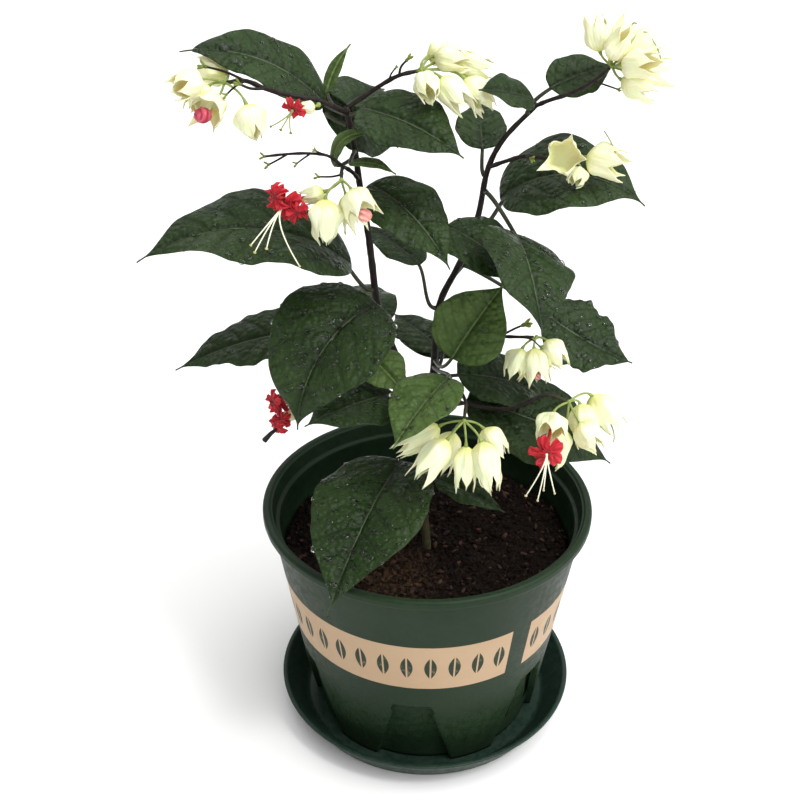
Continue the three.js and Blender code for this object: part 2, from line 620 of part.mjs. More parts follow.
// A blade and the petiole that carries it, which starts a clearance off its branch.
function makeLeaf(leaf) {
  const stations = leaf.length > LARGE_LEAF_LENGTH ? LARGE_STATIONS : SMALL_STATIONS;
  const across = leaf.width > LARGE_LEAF_WIDTH ? [-1, -0.5, 0, 0.5, 1] : [-1, 0, 1];
  const grid = stations.map((t) => across.map((v) => bladePoint(leaf, t, v)));
  const points = grid.map((row) => row.map((g) => g.point));
  const normals = grid.map((row) => row.map((g) => g.normal));
  const blade = plate(points, normals, LEAF_THICK);
  const node = stemStation(leaf.stem, leaf.node);
  const outward = leaf.foot.clone().sub(node.point);
  const reach = outward.length();
  outward.addScaledVector(node.direction, -outward.dot(node.direction)).normalize();
  const start = along(node.point, outward, node.radius + GAP);
  const { tangent, normal } = frameOf(leaf.heading, leaf.pitch, leaf.roll);
  const end = along(midrib(leaf, 0.07), normal, -0.5);
  const path = new THREE.CubicBezierCurve3(
    start, along(start, outward, reach * 0.25), along(end, tangent, -reach * 0.3), end,
  );
  const petiole = bar(path, 3, 4, PETIOLE_RADIUS * 1.2, PETIOLE_RADIUS);
  return blade.add(petiole);
}

// ---------------------------------------------------------------- the flowers
function calyxShape([foot, heading, pitch, length, radius, open]) {
  const { tangent, side, normal } = frameOf(heading, pitch, 0);
  return { foot: vec(foot), tangent, side, normal, length, radius, open };
}

// The bottom of the hollow in a calyx's mouth, and how wide the hollow opens, as an angle.
const throat = (calyx) => along(calyx.foot, calyx.tangent, calyx.length * THROAT_SHARE);
const lobeRadius = (calyx) => (0.58 + 0.7 * calyx.open) * calyx.radius;
const throatAngle = (calyx) => Math.atan(lobeRadius(calyx) / (calyx.length * (1 - THROAT_SHARE)));

// A five-keeled lantern with five pointed lobes round its mouth.
function makeCalyx(calyx) {
  const ring = (shares) => Array.from({ length: 10 }, (_, i) => {
    const angle = (i * Math.PI) / 5;
    const [distance, width] = shares[i % 2];
    const p = along(calyx.foot, calyx.tangent, distance * calyx.length);
    p.addScaledVector(calyx.side, Math.cos(angle) * width * calyx.radius);
    return p.addScaledVector(calyx.normal, Math.sin(angle) * width * calyx.radius);
  });
  const rings = [
    ring([[CALYX_BELLY, CALYX_KEEL], [CALYX_BELLY, CALYX_VALLEY]]),
    ring([[1, lobeRadius(calyx) / calyx.radius], [NOTCH_SHARE, 0.76 + 0.2 * calyx.open]]),
  ];
  return ringSolid(calyx.foot, rings, throat(calyx));
}

// A flower cluster: pedicels that fan out from one knob to their calyces.
function makeCyme(name) {
  const twig = TWIGS.find((one) => one.hub === name);
  const hub = vec(twig.path[twig.path.length - 1]);
  const pieces = [ball(hub, HUB_RADIUS, 5, 4)];
  for (const calyx of CYMES[name].map(calyxShape)) {
    const reach = calyx.foot.distanceTo(hub);
    const end = along(calyx.foot, calyx.tangent, 1.2);
    const bend = along(calyx.foot, calyx.tangent, -reach * 0.35);
    const pedicel = new THREE.QuadraticBezierCurve3(hub, bend, end);
    pieces.push(makeCalyx(calyx), bar(pedicel, 2, 3, PEDICEL_RADIUS, PEDICEL_RADIUS));
  }
  return join(pieces);
}

// The calyx that a corolla or a bud comes out of.
const calyxOf = ([cyme, index]) => calyxShape(CYMES[cyme][index]);

// The star of a corolla, lobe by lobe: distance from the middle as a share of the radius, and
// bearing as a share of a lobe's fifth of the circle.
const STAR_OUTLINE = [[0.3, 0], [0.78, 0.22], [1, 0.38], [1, 0.62], [0.78, 0.78]];

// A crimson corolla: a slim tube out of the calyx and a thin star of five rounded lobes.
function makeCorolla({ from, centre, face, radius }) {
  const calyx = calyxOf(from);
  const clear = (TUBE_RADIUS + 2 * GAP) / Math.tan(throatAngle(calyx));
  const start = along(throat(calyx), calyx.tangent, clear);
  const star = vec(centre);
  const { tangent, side, normal } = frameOf(face[0], face[1], 0);
  const reach = start.distanceTo(star);
  const path = new THREE.CubicBezierCurve3(
    start, along(start, calyx.tangent, Math.max(reach * 0.4, calyx.length * 0.4)),
    along(star, tangent, -reach * 0.35), star,
  );
  const tube = bar(path, 5, 5, TUBE_RADIUS, TUBE_RADIUS * 1.3);
  const rim = (offset) => [0, 1, 2, 3, 4].flatMap((k) => STAR_OUTLINE.map(([share, turn]) => {
    const angle = ((k + turn) * 2 * Math.PI) / 5;
    const p = along(star, side, Math.cos(angle) * share * radius);
    p.addScaledVector(normal, Math.sin(angle) * share * radius);
    return p.addScaledVector(tangent, offset - PETAL_REFLEX * share ** 2 * radius);
  }));
  const half = PETAL_THICK / 2;
  const front = along(star, tangent, half);
  const back = along(star, tangent, -half);
  return ringSolid(front, [rim(half), rim(-half)], back).add(tube);
}

// A corolla still rolled up in its calyx's mouth.
function makeBud({ from, radius }) {
  const calyx = calyxOf(from);
  const clear = (radius + GAP) / Math.sin(throatAngle(calyx));
  const centre = along(throat(calyx), calyx.tangent, clear);
  return ball(centre, radius, 8, 6);
}

// Long pale filaments that leave the middle of the star together and spread to their tips.  They
// stand a clearance in front of the star.
function makeStamens({ from, tips }) {
  const { centre, face } = COROLLAS[from];
  const { tangent } = frameOf(face[0], face[1], 0);
  const root = along(vec(centre), tangent, PETAL_THICK / 2 + GAP + ROOT_RADIUS);
  const pieces = [ball(root, ROOT_RADIUS, 5, 3)];
  for (const tip of tips.map(vec)) {
    const bend = along(root, tangent, root.distanceTo(tip) * 0.4);
    const curve = new THREE.QuadraticBezierCurve3(root, bend, tip);
    pieces.push(bar(curve, 4, 3, FILAMENT_RADIUS, FILAMENT_RADIUS));
  }
  return join(pieces);
}

// ---------------------------------------------------------------- the whole plant
const part = new THREE.Group();

function addPiece(name, solid, color, roughness) {
  const material = new THREE.MeshStandardMaterial({ color, roughness, metalness: 0 });
  const mesh = new THREE.Mesh(geometryOf(solid), material);
  mesh.name = name;
  part.add(mesh);
}

addPiece('saucer', makeSaucer(), COLOURS.pot, 0.5);
addPiece('pot', makePot(), COLOURS.pot, 0.5);
addPiece('soil', makeSoil(), COLOURS.soil, 1);
addPiece('stem', makeStem(), COLOURS.stem, 0.7);
for (const leaf of LEAVES.map(leafShape)) {
  const colour = FRESH_LEAVES.includes(leaf.name) ? COLOURS.freshLeaf : COLOURS.darkLeaf;
  addPiece(`leaf_${leaf.name}`, makeLeaf(leaf), colour, 0.45);
}
for (const name of Object.keys(CYMES)) addPiece(name, makeCyme(name), COLOURS.calyx, 0.7);
for (const [name, flower] of Object.entries(COROLLAS)) {
  addPiece(name, makeCorolla(flower), COLOURS.corolla, 0.6);
}
for (const [name, bud] of Object.entries(BUDS)) addPiece(name, makeBud(bud), COLOURS.corolla, 0.6);
for (const [name, spray] of Object.entries(STAMENS)) {
  addPiece(name, makeStamens(spray), COLOURS.stamen, 0.7);
}

export default part;
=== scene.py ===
# A bleeding heart vine in a plastic nursery pot that stands in its saucer.
# Metres, +Z up.  The origin is the centre of the saucer's underside, and -Y is the front.
# Sizes and places are written in millimetres and brought to metres as each mesh is made.
import math

import bpy
import numpy as np
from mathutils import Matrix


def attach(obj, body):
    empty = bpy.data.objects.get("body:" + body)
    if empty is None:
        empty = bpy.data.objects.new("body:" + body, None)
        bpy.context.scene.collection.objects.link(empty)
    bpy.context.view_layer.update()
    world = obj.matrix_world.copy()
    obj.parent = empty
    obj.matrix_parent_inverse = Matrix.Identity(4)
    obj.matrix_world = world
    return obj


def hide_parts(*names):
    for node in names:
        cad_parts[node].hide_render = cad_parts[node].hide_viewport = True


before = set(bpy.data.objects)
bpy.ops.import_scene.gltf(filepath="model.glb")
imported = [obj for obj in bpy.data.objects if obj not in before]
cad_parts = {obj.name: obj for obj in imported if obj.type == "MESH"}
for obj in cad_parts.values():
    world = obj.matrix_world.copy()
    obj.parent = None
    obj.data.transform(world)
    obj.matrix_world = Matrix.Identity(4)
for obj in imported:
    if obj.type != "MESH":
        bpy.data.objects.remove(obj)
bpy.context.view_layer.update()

MM = 0.001

# ---------------------------------------------------------------- floor, lights and camera
# The plant stands on a pale studio floor under a wide soft light from the upper right, a
# weaker one from behind, a small one that glints on the wet leaves, and a pale even surround.
scene = bpy.context.scene
scene.view_settings.view_transform = "Standard"


def srgb(red, green, blue):
    """A colour given as it looks, 0 to 255 a channel, as Blender's linear numbers."""
    def linear(c):
        c /= 255
        return c / 12.92 if c <= 0.04045 else ((c + 0.055) / 1.055) ** 2.4
    return (linear(red), linear(green), linear(blue), 1.0)


def add_node(tree, kind, settings=None, **inputs):
    """A node with its settings and inputs: an input is a number, a colour or another socket."""
    node = tree.nodes.new(kind)
    for key, value in (settings or {}).items():
        setattr(node, key, value)
    for key, value in inputs.items():
        socket = node.inputs[int(key[1:])] if key[1:].isdigit() else node.inputs[key.replace("_", " ")]
        if isinstance(value, bpy.types.NodeSocket):
            tree.links.new(value, socket)
        else:
            socket.default_value = value
    return node


def new_material(name, roughness=0.5, **constants):
    """A material with one Principled shader, whose other sockets are constants."""
    material = bpy.data.materials.new(name)
    material.use_nodes = True
    shader = material.node_tree.nodes["Principled BSDF"]
    shader.inputs["Roughness"].default_value = roughness
    for key, value in constants.items():
        shader.inputs[key.replace("_", " ")].default_value = value
    return material, material.node_tree, shader


def mix_colour(tree, factor, first, second):
    """Two colours or colour sockets mixed by a factor."""
    mix = add_node(tree, "ShaderNodeMix", {"data_type": "RGBA"}, Factor=factor, i6=first, i7=second)
    return mix.outputs[2]


def paint(tree, shader, colour, roughness=None):
    """The colour, and the roughness where it varies, joined to a material's shader."""
    tree.links.new(colour, shader.inputs["Base Color"])
    if roughness is not None:
        tree.links.new(roughness, shader.inputs["Roughness"])


FLOOR_REACH = 9.0  # metres from the middle of the floor to its sides
FLOOR_TINTS = (0.92, 0.92, 0.91, 1), (0.94, 0.94, 0.94, 1)
floor_corners = [(x * FLOOR_REACH, y * FLOOR_REACH, 0) for x, y in ((-1, -1), (1, -1), (1, 1), (-1, 1))]
floor_mesh = bpy.data.meshes.new("floor")
floor_mesh.from_pydata(floor_corners, [], [(0, 1, 2, 3)])
floor = bpy.data.objects.new("floor", floor_mesh)
scene.collection.objects.link(floor)
floor_paint, floor_tree, floor_shader = new_material("studio_floor", 0.9)
floor_grain = add_node(floor_tree, "ShaderNodeTexNoise", Scale=3.0, Detail=2.0)
paint(floor_tree, floor_shader, mix_colour(floor_tree, floor_grain.outputs[0], *FLOOR_TINTS))
floor_mesh.materials.append(floor_paint)

SURROUND_LIGHT = 0.55
surround = bpy.data.worlds.new("surround")
surround.use_nodes = True
surround_glow = surround.node_tree.nodes["Background"]
surround_glow.inputs["Color"].default_value = (1, 1, 1, 1)
surround_glow.inputs["Strength"].default_value = SURROUND_LIGHT
scene.world = surround


def soft_light(name, toward, spread, strength):
    """A far light that shines from that direction, as wide in the sky as its spread in degrees."""
    lamp = bpy.data.lights.new(name, "SUN")
    lamp.energy, lamp.angle = strength, math.radians(spread)
    holder = bpy.data.objects.new(name, lamp)
    scene.collection.objects.link(holder)
    flat = math.hypot(toward[0], toward[1])
    holder.rotation_euler = (math.atan2(flat, toward[2]), 0, math.atan2(toward[1], toward[0]) + math.pi / 2)
    holder.location = toward


soft_light("key_light", (0.75, -0.35, 1.2), 80, 2.9)
soft_light("back_light", (-0.35, 1.0, 0.9), 40, 0.35)
soft_light("lamp_light", (0.45, -0.4, 1.0), 10, 0.7)

CAMERA_PLACE = (-16.5, -620.0, 588.0)
CAMERA_DOWN = 30.6  # degrees below the horizon
LENS, SENSOR_WIDTH = 55.7, 36.0
NEAREST = 0.02  # metres: nothing closer to the camera is drawn
camera = bpy.data.objects.new("camera", bpy.data.cameras.new("camera"))
camera.data.lens, camera.data.sensor_width = LENS, SENSOR_WIDTH
camera.data.clip_start = NEAREST
camera.location = [MM * c for c in CAMERA_PLACE]
camera.rotation_euler = (math.radians(90 - CAMERA_DOWN), 0, 0)
scene.collection.objects.link(camera)
scene.camera = camera

# ---------------------------------------------------------------- the saucer
# A round drip dish of dark green polypropylene, injection moulded in one shot: a flat foot, a
# sloping wall and a bead round the rim.  The pot stands loose in it.
GAP = 0.3
TURNS = 144  # facets round the saucer
SAUCER_RIM, SAUCER_BEAD, SAUCER_HEIGHT, SAUCER_LIP = 93.7, 1.8, 20.6, 1.6
SAUCER_BASE, SAUCER_FLOOR, SAUCER_WALL = 80.0, 3.0, 2.0
GREEN_DARK, GREEN_LIGHT = srgb(16, 36, 29), srgb(30, 52, 42)


def rounded(profile, radius, steps=3):
    """A profile whose corners are replaced by small arcs of about that radius."""
    points = [np.array(p, float) for p in profile]
    out = [points[0]]
    for before, corner, after in zip(points, points[1:], points[2:]):
        reach = [min(radius, 0.45 * np.linalg.norm(p - corner)) for p in (before, after)]
        start = corner + (before - corner) / np.linalg.norm(before - corner) * reach[0]
        end = corner + (after - corner) / np.linalg.norm(after - corner) * reach[1]
        for k in range(steps + 1):
            s = k / steps
            out.append((1 - s) ** 2 * start + 2 * s * (1 - s) * corner + s * s * end)
    return np.array(out + [points[-1]])


def skin(rings, first=None, last=None):
    """Faces over rings of points, with each end closed by a pole or left open."""
    rings = np.asarray(rings, float)
    count, around = rings.shape[:2]
    points = rings.reshape(-1, 3)
    i, j = np.meshgrid(np.arange(count - 1), np.arange(around), indexing="ij")
    a, b = i * around + j, i * around + (j + 1) % around
    faces = np.stack([a, b, b + around, a + around], -1).reshape(-1, 4).tolist()
    for pole, row, turned in ((first, 0, False), (last, count - 1, True)):
        if pole is None:
            continue
        points = np.vstack([points, pole])
        for k in range(around):
            edge = (row * around + k, row * around + (k + 1) % around)
            faces.append([len(points) - 1, *(edge if turned else edge[::-1])])
    return points, faces


def volume(points, faces):
    """Six times the volume inside the faces: negative where they point inwards."""
    total = 0.0
    for size in (3, 4):
        some = np.array([f for f in faces if len(f) == size], int)
        if len(some) == 0:
            continue
        for k in range(1, size - 1):
            corners = [points[some[:, n]] for n in (0, k, k + 1)]
            total += np.einsum("ij,ij->i", corners[0], np.cross(corners[1], corners[2])).sum()
    return total


def outward(points, faces):
    """The same faces, turned round if they point inwards."""
    return [f[::-1] for f in faces] if volume(points, faces) < 0 else faces


def place_piece(name, mesh, nodes=()):
    """An object of that mesh on the root body, which takes the place of those nodes."""
    piece = bpy.data.objects.new(name, mesh)
    scene.collection.objects.link(piece)
    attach(piece, "root")
    if nodes:
        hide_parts(*nodes)
    return piece


def make_piece(name, parts, materials, nodes):
    """One object from parts in millimetres: each is points, faces, material number and, where
    it has them, a pair of numbers a point for the UV map and a number a point called "mask"."""
    offset, points, faces, numbers, pairs, masks = 0, [], [], [], [], []
    for part in parts:
        part_points, part_faces, number = part[:3]
        points.append(part_points)
        faces += [[c + offset for c in f] for f in part_faces]
        numbers += [number] * len(part_faces)
        pairs.append(part[3] if len(part) > 3 else np.zeros((len(part_points), 2)))
        masks.append(part[4] if len(part) > 4 else np.zeros(len(part_points)))
        offset += len(part_points)
    mesh = bpy.data.meshes.new(name)
    mesh.from_pydata((np.vstack(points) * MM).tolist(), [], faces)
    mesh.polygons.foreach_set("material_index", numbers)
    mesh.polygons.foreach_set("use_smooth", [True] * len(faces))
    corners = np.empty(len(mesh.loops), int)
    mesh.loops.foreach_get("vertex_index", corners)
    layer = mesh.uv_layers.new(name="veins")
    layer.data.foreach_set("uv", np.vstack(pairs)[corners].ravel().astype(np.float32))
    mask = mesh.attributes.new("mask", "FLOAT", "POINT")
    mask.data.foreach_set("value", np.concatenate(masks).astype(np.float32))
    for material in materials:
        mesh.materials.append(material)
    mesh.update()
    return place_piece(name, mesh, nodes)


def shader_group(name, inputs, outputs):
    """An empty node group with named inputs (kind and value) and outputs."""
    group = bpy.data.node_groups.new(name, "ShaderNodeTree")
    for label, (kind, value) in inputs.items():
        socket = group.interface.new_socket(label, in_out="INPUT", socket_type=kind)
        if value is not None:
            socket.default_value = value
    for label, kind in outputs.items():
        group.interface.new_socket(label, in_out="OUTPUT", socket_type=kind)
    return group, group.nodes.new("NodeGroupInput"), group.nodes.new("NodeGroupOutput")


# Uneven colour, as in anything grown or moulded: two colours mixed by soft noise, with a
# matching height for the finest relief.
mottle, mottle_in, mottle_out = shader_group(
    "mottle",
    {"Dark": ("NodeSocketColor", (0, 0, 0, 1)), "Light": ("NodeSocketColor", (1, 1, 1, 1)),
     "Scale": ("NodeSocketFloat", 100.0), "Contrast": ("NodeSocketFloat", 1.0),
     "Vector": ("NodeSocketVector", None)},
    {"Color": "NodeSocketColor", "Value": "NodeSocketFloat"})
mottle_noise = add_node(mottle, "ShaderNodeTexNoise", Vector=mottle_in.outputs["Vector"],
                        Scale=mottle_in.outputs["Scale"], Detail=5.0, Roughness=0.6)
mottle_span = add_node(mottle, "ShaderNodeMath", {"operation": "SUBTRACT"},
                       i0=mottle_noise.outputs[0], i1=0.5)
mottle_gain = add_node(mottle, "ShaderNodeMath", {"operation": "MULTIPLY_ADD", "use_clamp": True},
                       i0=mottle_span.outputs[0], i1=mottle_in.outputs["Contrast"], i2=0.5)
mottle_mix = add_node(mottle, "ShaderNodeMix", {"data_type": "RGBA"}, Factor=mottle_gain.outputs[0],
                      i6=mottle_in.outputs["Dark"], i7=mottle_in.outputs["Light"])
mottle.links.new(mottle_mix.outputs[2], mottle_out.inputs["Color"])
mottle.links.new(mottle_gain.outputs[0], mottle_out.inputs["Value"])


def place_mottle(tree, dark, light, scale, contrast=1.6):
    """The mottle on Object coordinates, placed in a material with its own values."""
    place = add_node(tree, "ShaderNodeTexCoord").outputs["Object"]
    return add_node(tree, "ShaderNodeGroup", {"node_tree": mottle}, Dark=dark, Light=light,
                    Scale=scale, Contrast=contrast, Vector=place)


def speckle(tree, scale, contrast):
    """The mottle as a number from 0 to 1, with no colours of its own."""
    place = add_node(tree, "ShaderNodeTexCoord").outputs["Object"]
    return add_node(tree, "ShaderNodeGroup", {"node_tree": mottle}, Scale=scale, Contrast=contrast,
                    Vector=place).outputs["Value"]


def place_bump(tree, shader, height, strength, depth):
    """A bump of that depth in metres on the shader's normal."""
    bump = add_node(tree, "ShaderNodeBump", Strength=strength, Distance=depth, Height=height)
    tree.links.new(bump.outputs[0], shader.inputs["Normal"])


def math_node(tree, operation, first, second=0.0, third=0.0, clamp=False):
    """The result of one sum on numbers or sockets."""
    settings = {"operation": operation, "use_clamp": clamp}
    return add_node(tree, "ShaderNodeMath", settings, i0=first, i1=second, i2=third).outputs[0]


def times(tree, first, second):
    """Two numbers or sockets multiplied."""
    return math_node(tree, "MULTIPLY", first, second)


def span(tree, value, low, high, start=0.0, end=1.0):
    """A value brought smoothly from one range to another and held there outside it."""
    settings = {"interpolation_type": "SMOOTHSTEP"}
    ranged = add_node(tree, "ShaderNodeMapRange", settings, Value=value, From_Min=low, From_Max=high,
                      To_Min=start, To_Max=end)
    return ranged.outputs[0]


def dusty_plastic(name, specular, dark, light, scale, dust_scale, dust_share, dust_tint, roughest):
    """Moulded plastic, duller where dust lies on it: what it is made of, and its dusty colour."""
    material, tree, shader = new_material(name, Specular_IOR_Level=specular)
    tint = place_mottle(tree, dark, light, scale, 1.8)
    dust = speckle(tree, dust_scale, 3.0)
    colour = mix_colour(tree, times(tree, dust, dust_share), tint.outputs[0], dust_tint)
    paint(tree, shader, colour, span(tree, dust, 0, 1, 0.36, roughest))
    place_bump(tree, shader, speckle(tree, 1500.0, 1.0), 0.25, 0.0002)
    return material, tree, shader, tint, dust, colour


green_plastic = dusty_plastic("green_plastic", 0.2, GREEN_DARK, GREEN_LIGHT, 18.0, 260.0, 0.16,
                              srgb(84, 94, 82), 0.55)[0]

saucer_wall = SAUCER_RIM - SAUCER_BEAD
saucer_under = SAUCER_HEIGHT - SAUCER_LIP
saucer_profile = rounded([
    (0.5, 0), (SAUCER_BASE - 4, 0), (SAUCER_BASE - 3, 0.6), (SAUCER_BASE - 1.5, 0), (SAUCER_BASE, 0),
    (SAUCER_BASE + 2, 2), (saucer_wall, saucer_under), (SAUCER_RIM, saucer_under),
    (SAUCER_RIM, SAUCER_HEIGHT), (SAUCER_RIM - 2.6, SAUCER_HEIGHT),
    (saucer_wall - SAUCER_WALL, saucer_under), (SAUCER_BASE - 1, SAUCER_FLOOR + 1.5),
    (SAUCER_BASE - 3, SAUCER_FLOOR), (66, SAUCER_FLOOR), (65.4, SAUCER_FLOOR - 0.4),
    (64.8, SAUCER_FLOOR), (0.5, SAUCER_FLOOR)], 0.9)


def turn_rings(profile, count):
    """Rings of points: a profile of radius and height turned about the vertical axis."""
    angles = np.arange(count) * 2 * math.pi / count
    radius, height = profile[:, :1], profile[:, 1:]
    return np.stack([radius * np.cos(angles), radius * np.sin(angles),
                     np.broadcast_to(height, (len(profile), count))], -1)


saucer_points, saucer_faces = skin(turn_rings(saucer_profile, TURNS), (0, 0, 0), (0, 0, SAUCER_FLOOR))
make_piece("saucer_dish", [(saucer_points, outward(saucer_points, saucer_faces), 0)],
           [green_plastic], ["saucer"])

# ---------------------------------------------------------------- the pot
# The grower's pot: dark green polypropylene, injection moulded with a thick lip, a stacking ring
# inside the mouth and six arched recesses round the foot.  Four of them have drain slits.
# A tan band is printed round it in three lengths, with a plain row of leaf shapes.
POT_FOOT, POT_TOP, LIP_HEIGHT, POT_RIM = SAUCER_FLOOR + GAP, 152.5, 5.5, 100.0
POT_SHOULDER, POT_BASE, POT_WALL = 95.5, 72.0, 2.4
LEDGE_RADIUS, LEDGE_DROP, MOUTH_RADIUS = 90.0, 11.0, 94.0
RECESS_COUNT, RECESS_TURN, RECESS_DEPTH = 6, -96.7, 4.0
RECESS_FOOT, RECESS_HEAD, RECESS_TOP = 48.0, 25.0, 56.5
SLIT_WIDTH, SLIT_LOW, SLIT_HIGH = 8.0, 20.0, 48.0
EDGE_SOFTNESS = 0.9  # width of the slope at a recess's edges
RECESS_ROUNDING = 7.0  # height of its rounded head
WALL_END, INNER_WALL_END, INNER_ROWS_END = 144.0, 132.0, 130.0  # where the wall meets the lip's rows
BAND_LOW, BAND_HIGH = 74.8, 111.2
PRINT_RADIUS = 81.6  # nothing nearer the axis is printed
BAND_COUNT, BAND_END, BAND_BREAK = 3, -57.0, 9.0  # degrees
BAND_TAN, BAND_INK = srgb(188, 162, 132), srgb(44, 54, 40)


def pot_radius(z):
    """Radius of the pot's outer wall at a height."""
    return POT_BASE + (POT_SHOULDER - POT_BASE) * (z - POT_FOOT) / (POT_TOP - LIP_HEIGHT - POT_FOOT)


def recess_half(z):
    """Half the width of a recess at a height, before its rounded head closes it."""
    shoulder = RECESS_TOP - RECESS_HEAD * 0.4
    return np.interp(z, [0, shoulder], [RECESS_FOOT / 2, RECESS_HEAD / 2])


def recess_share(x, z):
    """How deep a recess is at x across it and height z, from 0 on the wall to 1."""
    sides = (recess_half(z) - np.abs(x)) / EDGE_SOFTNESS
    rise = np.sqrt(np.clip(1 - (x / (RECESS_HEAD / 2 + 0.4)) ** 6, 0, 1))
    head = (RECESS_TOP - RECESS_ROUNDING + RECESS_ROUNDING * rise - z) / EDGE_SOFTNESS
    share = np.clip(np.minimum(sides, head) + 0.5, 0, 1)
    return share * share * (3 - 2 * share)


# Columns round a sixth of the wall: across the recess, its two slits and edges, and the plain wall.
edge_steps = [-SLIT_WIDTH - 0.7, -0.7, -0.2, 0.25, 0.9]
inner_shares = np.linspace(-1, 1, 25)
plain_shares = np.linspace(0, 1, 12)[1:-1]
heights = np.unique(np.round(np.concatenate([
    np.linspace(POT_FOOT, SLIT_LOW, 8), np.linspace(SLIT_LOW, SLIT_HIGH - 2, 8),
    np.linspace(SLIT_HIGH - 2, RECESS_TOP + 2, 18), np.linspace(RECESS_TOP + 2, WALL_END, 22)]), 3))


def wall_row(z, inset):
    """One row of the wall's points at a height, with the recesses pushed in."""
    radius = pot_radius(z)
    half = recess_half(min(z, RECESS_TOP - 8))
    inner = half + edge_steps[0]
    sector = radius * math.pi / RECESS_COUNT
    right = [half + s for s in edge_steps]
    plain = [right[-1] + (sector - right[-1]) * s for s in plain_shares]
    across = np.array([-s for s in plain[::-1]] + [-s for s in right[:0:-1]]
                      + list(inner_shares * inner) + right[1:] + plain + [sector])
    depth = RECESS_DEPTH * recess_share(across, z)
    rows = []
    for k in range(RECESS_COUNT):
        angle = math.radians(RECESS_TURN + 360 / RECESS_COUNT * k) + across / radius
        r = radius - depth - inset
        rows.append(np.stack([r * np.cos(angle), r * np.sin(angle), np.full(len(across), z)], -1))
    return np.vstack(rows), across


def plain_row(radius, z, like):
    """A row at the same bearings as another one."""
    bearing = np.arctan2(like[:, 1], like[:, 0])
    return np.stack([radius * np.cos(bearing), radius * np.sin(bearing), np.full(len(bearing), z)], -1)


outer_rows = [wall_row(z, 0)[0] for z in heights]
inner_floor = POT_FOOT + POT_WALL
inner_rows = [wall_row(max(z, inner_floor), POT_WALL)[0] for z in heights]
shoulder_z = POT_TOP - LIP_HEIGHT
ledge_z = POT_TOP - LEDGE_DROP
lip_profile = rounded([
    (pot_radius(WALL_END), WALL_END), (POT_SHOULDER, shoulder_z), (POT_RIM - 0.6, shoulder_z),
    (POT_RIM, shoulder_z + 0.8), (POT_RIM, POT_TOP - 1.2), (POT_RIM - 1.2, POT_TOP),
    (MOUTH_RADIUS + 2, POT_TOP), (MOUTH_RADIUS + 1.2, POT_TOP - 1.4), (MOUTH_RADIUS, POT_TOP - 1.6),
    (MOUTH_RADIUS - 1.5, ledge_z + 0.8),
    (LEDGE_RADIUS, ledge_z), (LEDGE_RADIUS, ledge_z - 5),
    (pot_radius(INNER_WALL_END) - POT_WALL, INNER_WALL_END)], 0.7)
lip_rows = [plain_row(r, z, outer_rows[-1]) for r, z in lip_profile[1:-1]]
wall_top = len(heights)
inner_keep = [row for row, z in zip(inner_rows, heights) if z < INNER_ROWS_END][::-1]
all_rows = outer_rows + lip_rows + inner_keep
pot_points, pot_faces = skin(all_rows, (0, 0, POT_FOOT), (0, 0, inner_floor))

# The slits: cells between the two columns beside a recess's edges are left out of both faces of
# the wall, and short walls join what is left.
SLIT_TRACE = 30.0  # the height at which the slits' columns are found
across_now = wall_row(SLIT_TRACE, 0)[1]
columns = len(across_now)
around = columns * RECESS_COUNT
slit_columns = []
for k in range(RECESS_COUNT):
    if k % (RECESS_COUNT // 2) == 0:
        continue
    left = int(np.argmin(np.abs(across_now + recess_half(SLIT_TRACE) + edge_steps[0])))
    right = int(np.argmin(np.abs(across_now - recess_half(SLIT_TRACE) - edge_steps[0])))
    slit_columns += [k * columns + left - 1, k * columns + right]
slit_rows = [i for i in range(wall_top - 1) if SLIT_LOW - 0.01 <= heights[i] < SLIT_HIGH - 0.3]
row_count = len(all_rows)
inner_row = {i: row_count - 1 - i for i in range(wall_top)}
cut_cells = set()
for i in slit_rows:
    for c in slit_columns:
        cut_cells.add(i * around + c)
        cut_cells.add((inner_row[i] - 1) * around + c)
pot_faces = [f for n, f in enumerate(pot_faces) if n not in cut_cells]
slit_walls = []
for c in slit_columns:
    d = (c + 1) % around
    ring = [(i, c) for i in slit_rows] + [(slit_rows[-1] + 1, c)]
    ring += [(i, d) for _, i in sorted((-i, i) for i, _ in ring)]
    for (i, m), (j, n) in zip(ring, ring[1:] + ring[:1]):
        slit_walls.append([i * around + m, j * around + n,
                           inner_row[j] * around + n, inner_row[i] * around + m])
pot_faces = outward(pot_points, pot_faces)
pot_faces += slit_walls

pot_plastic, pot_tree, pot_shader, pot_tint, pot_dust, dusty_pot = dusty_plastic(
    "printed_green_plastic", 0.14, srgb(14, 33, 19), srgb(31, 50, 30), 14.0, 240.0, 0.09,
    srgb(86, 92, 74), 0.52)
place = add_node(pot_tree, "ShaderNodeSeparateXYZ",
                 Vector=add_node(pot_tree, "ShaderNodeTexCoord").outputs["Object"])
bearing = math_node(pot_tree, "ARCTAN2", place.outputs["Y"], place.outputs["X"])
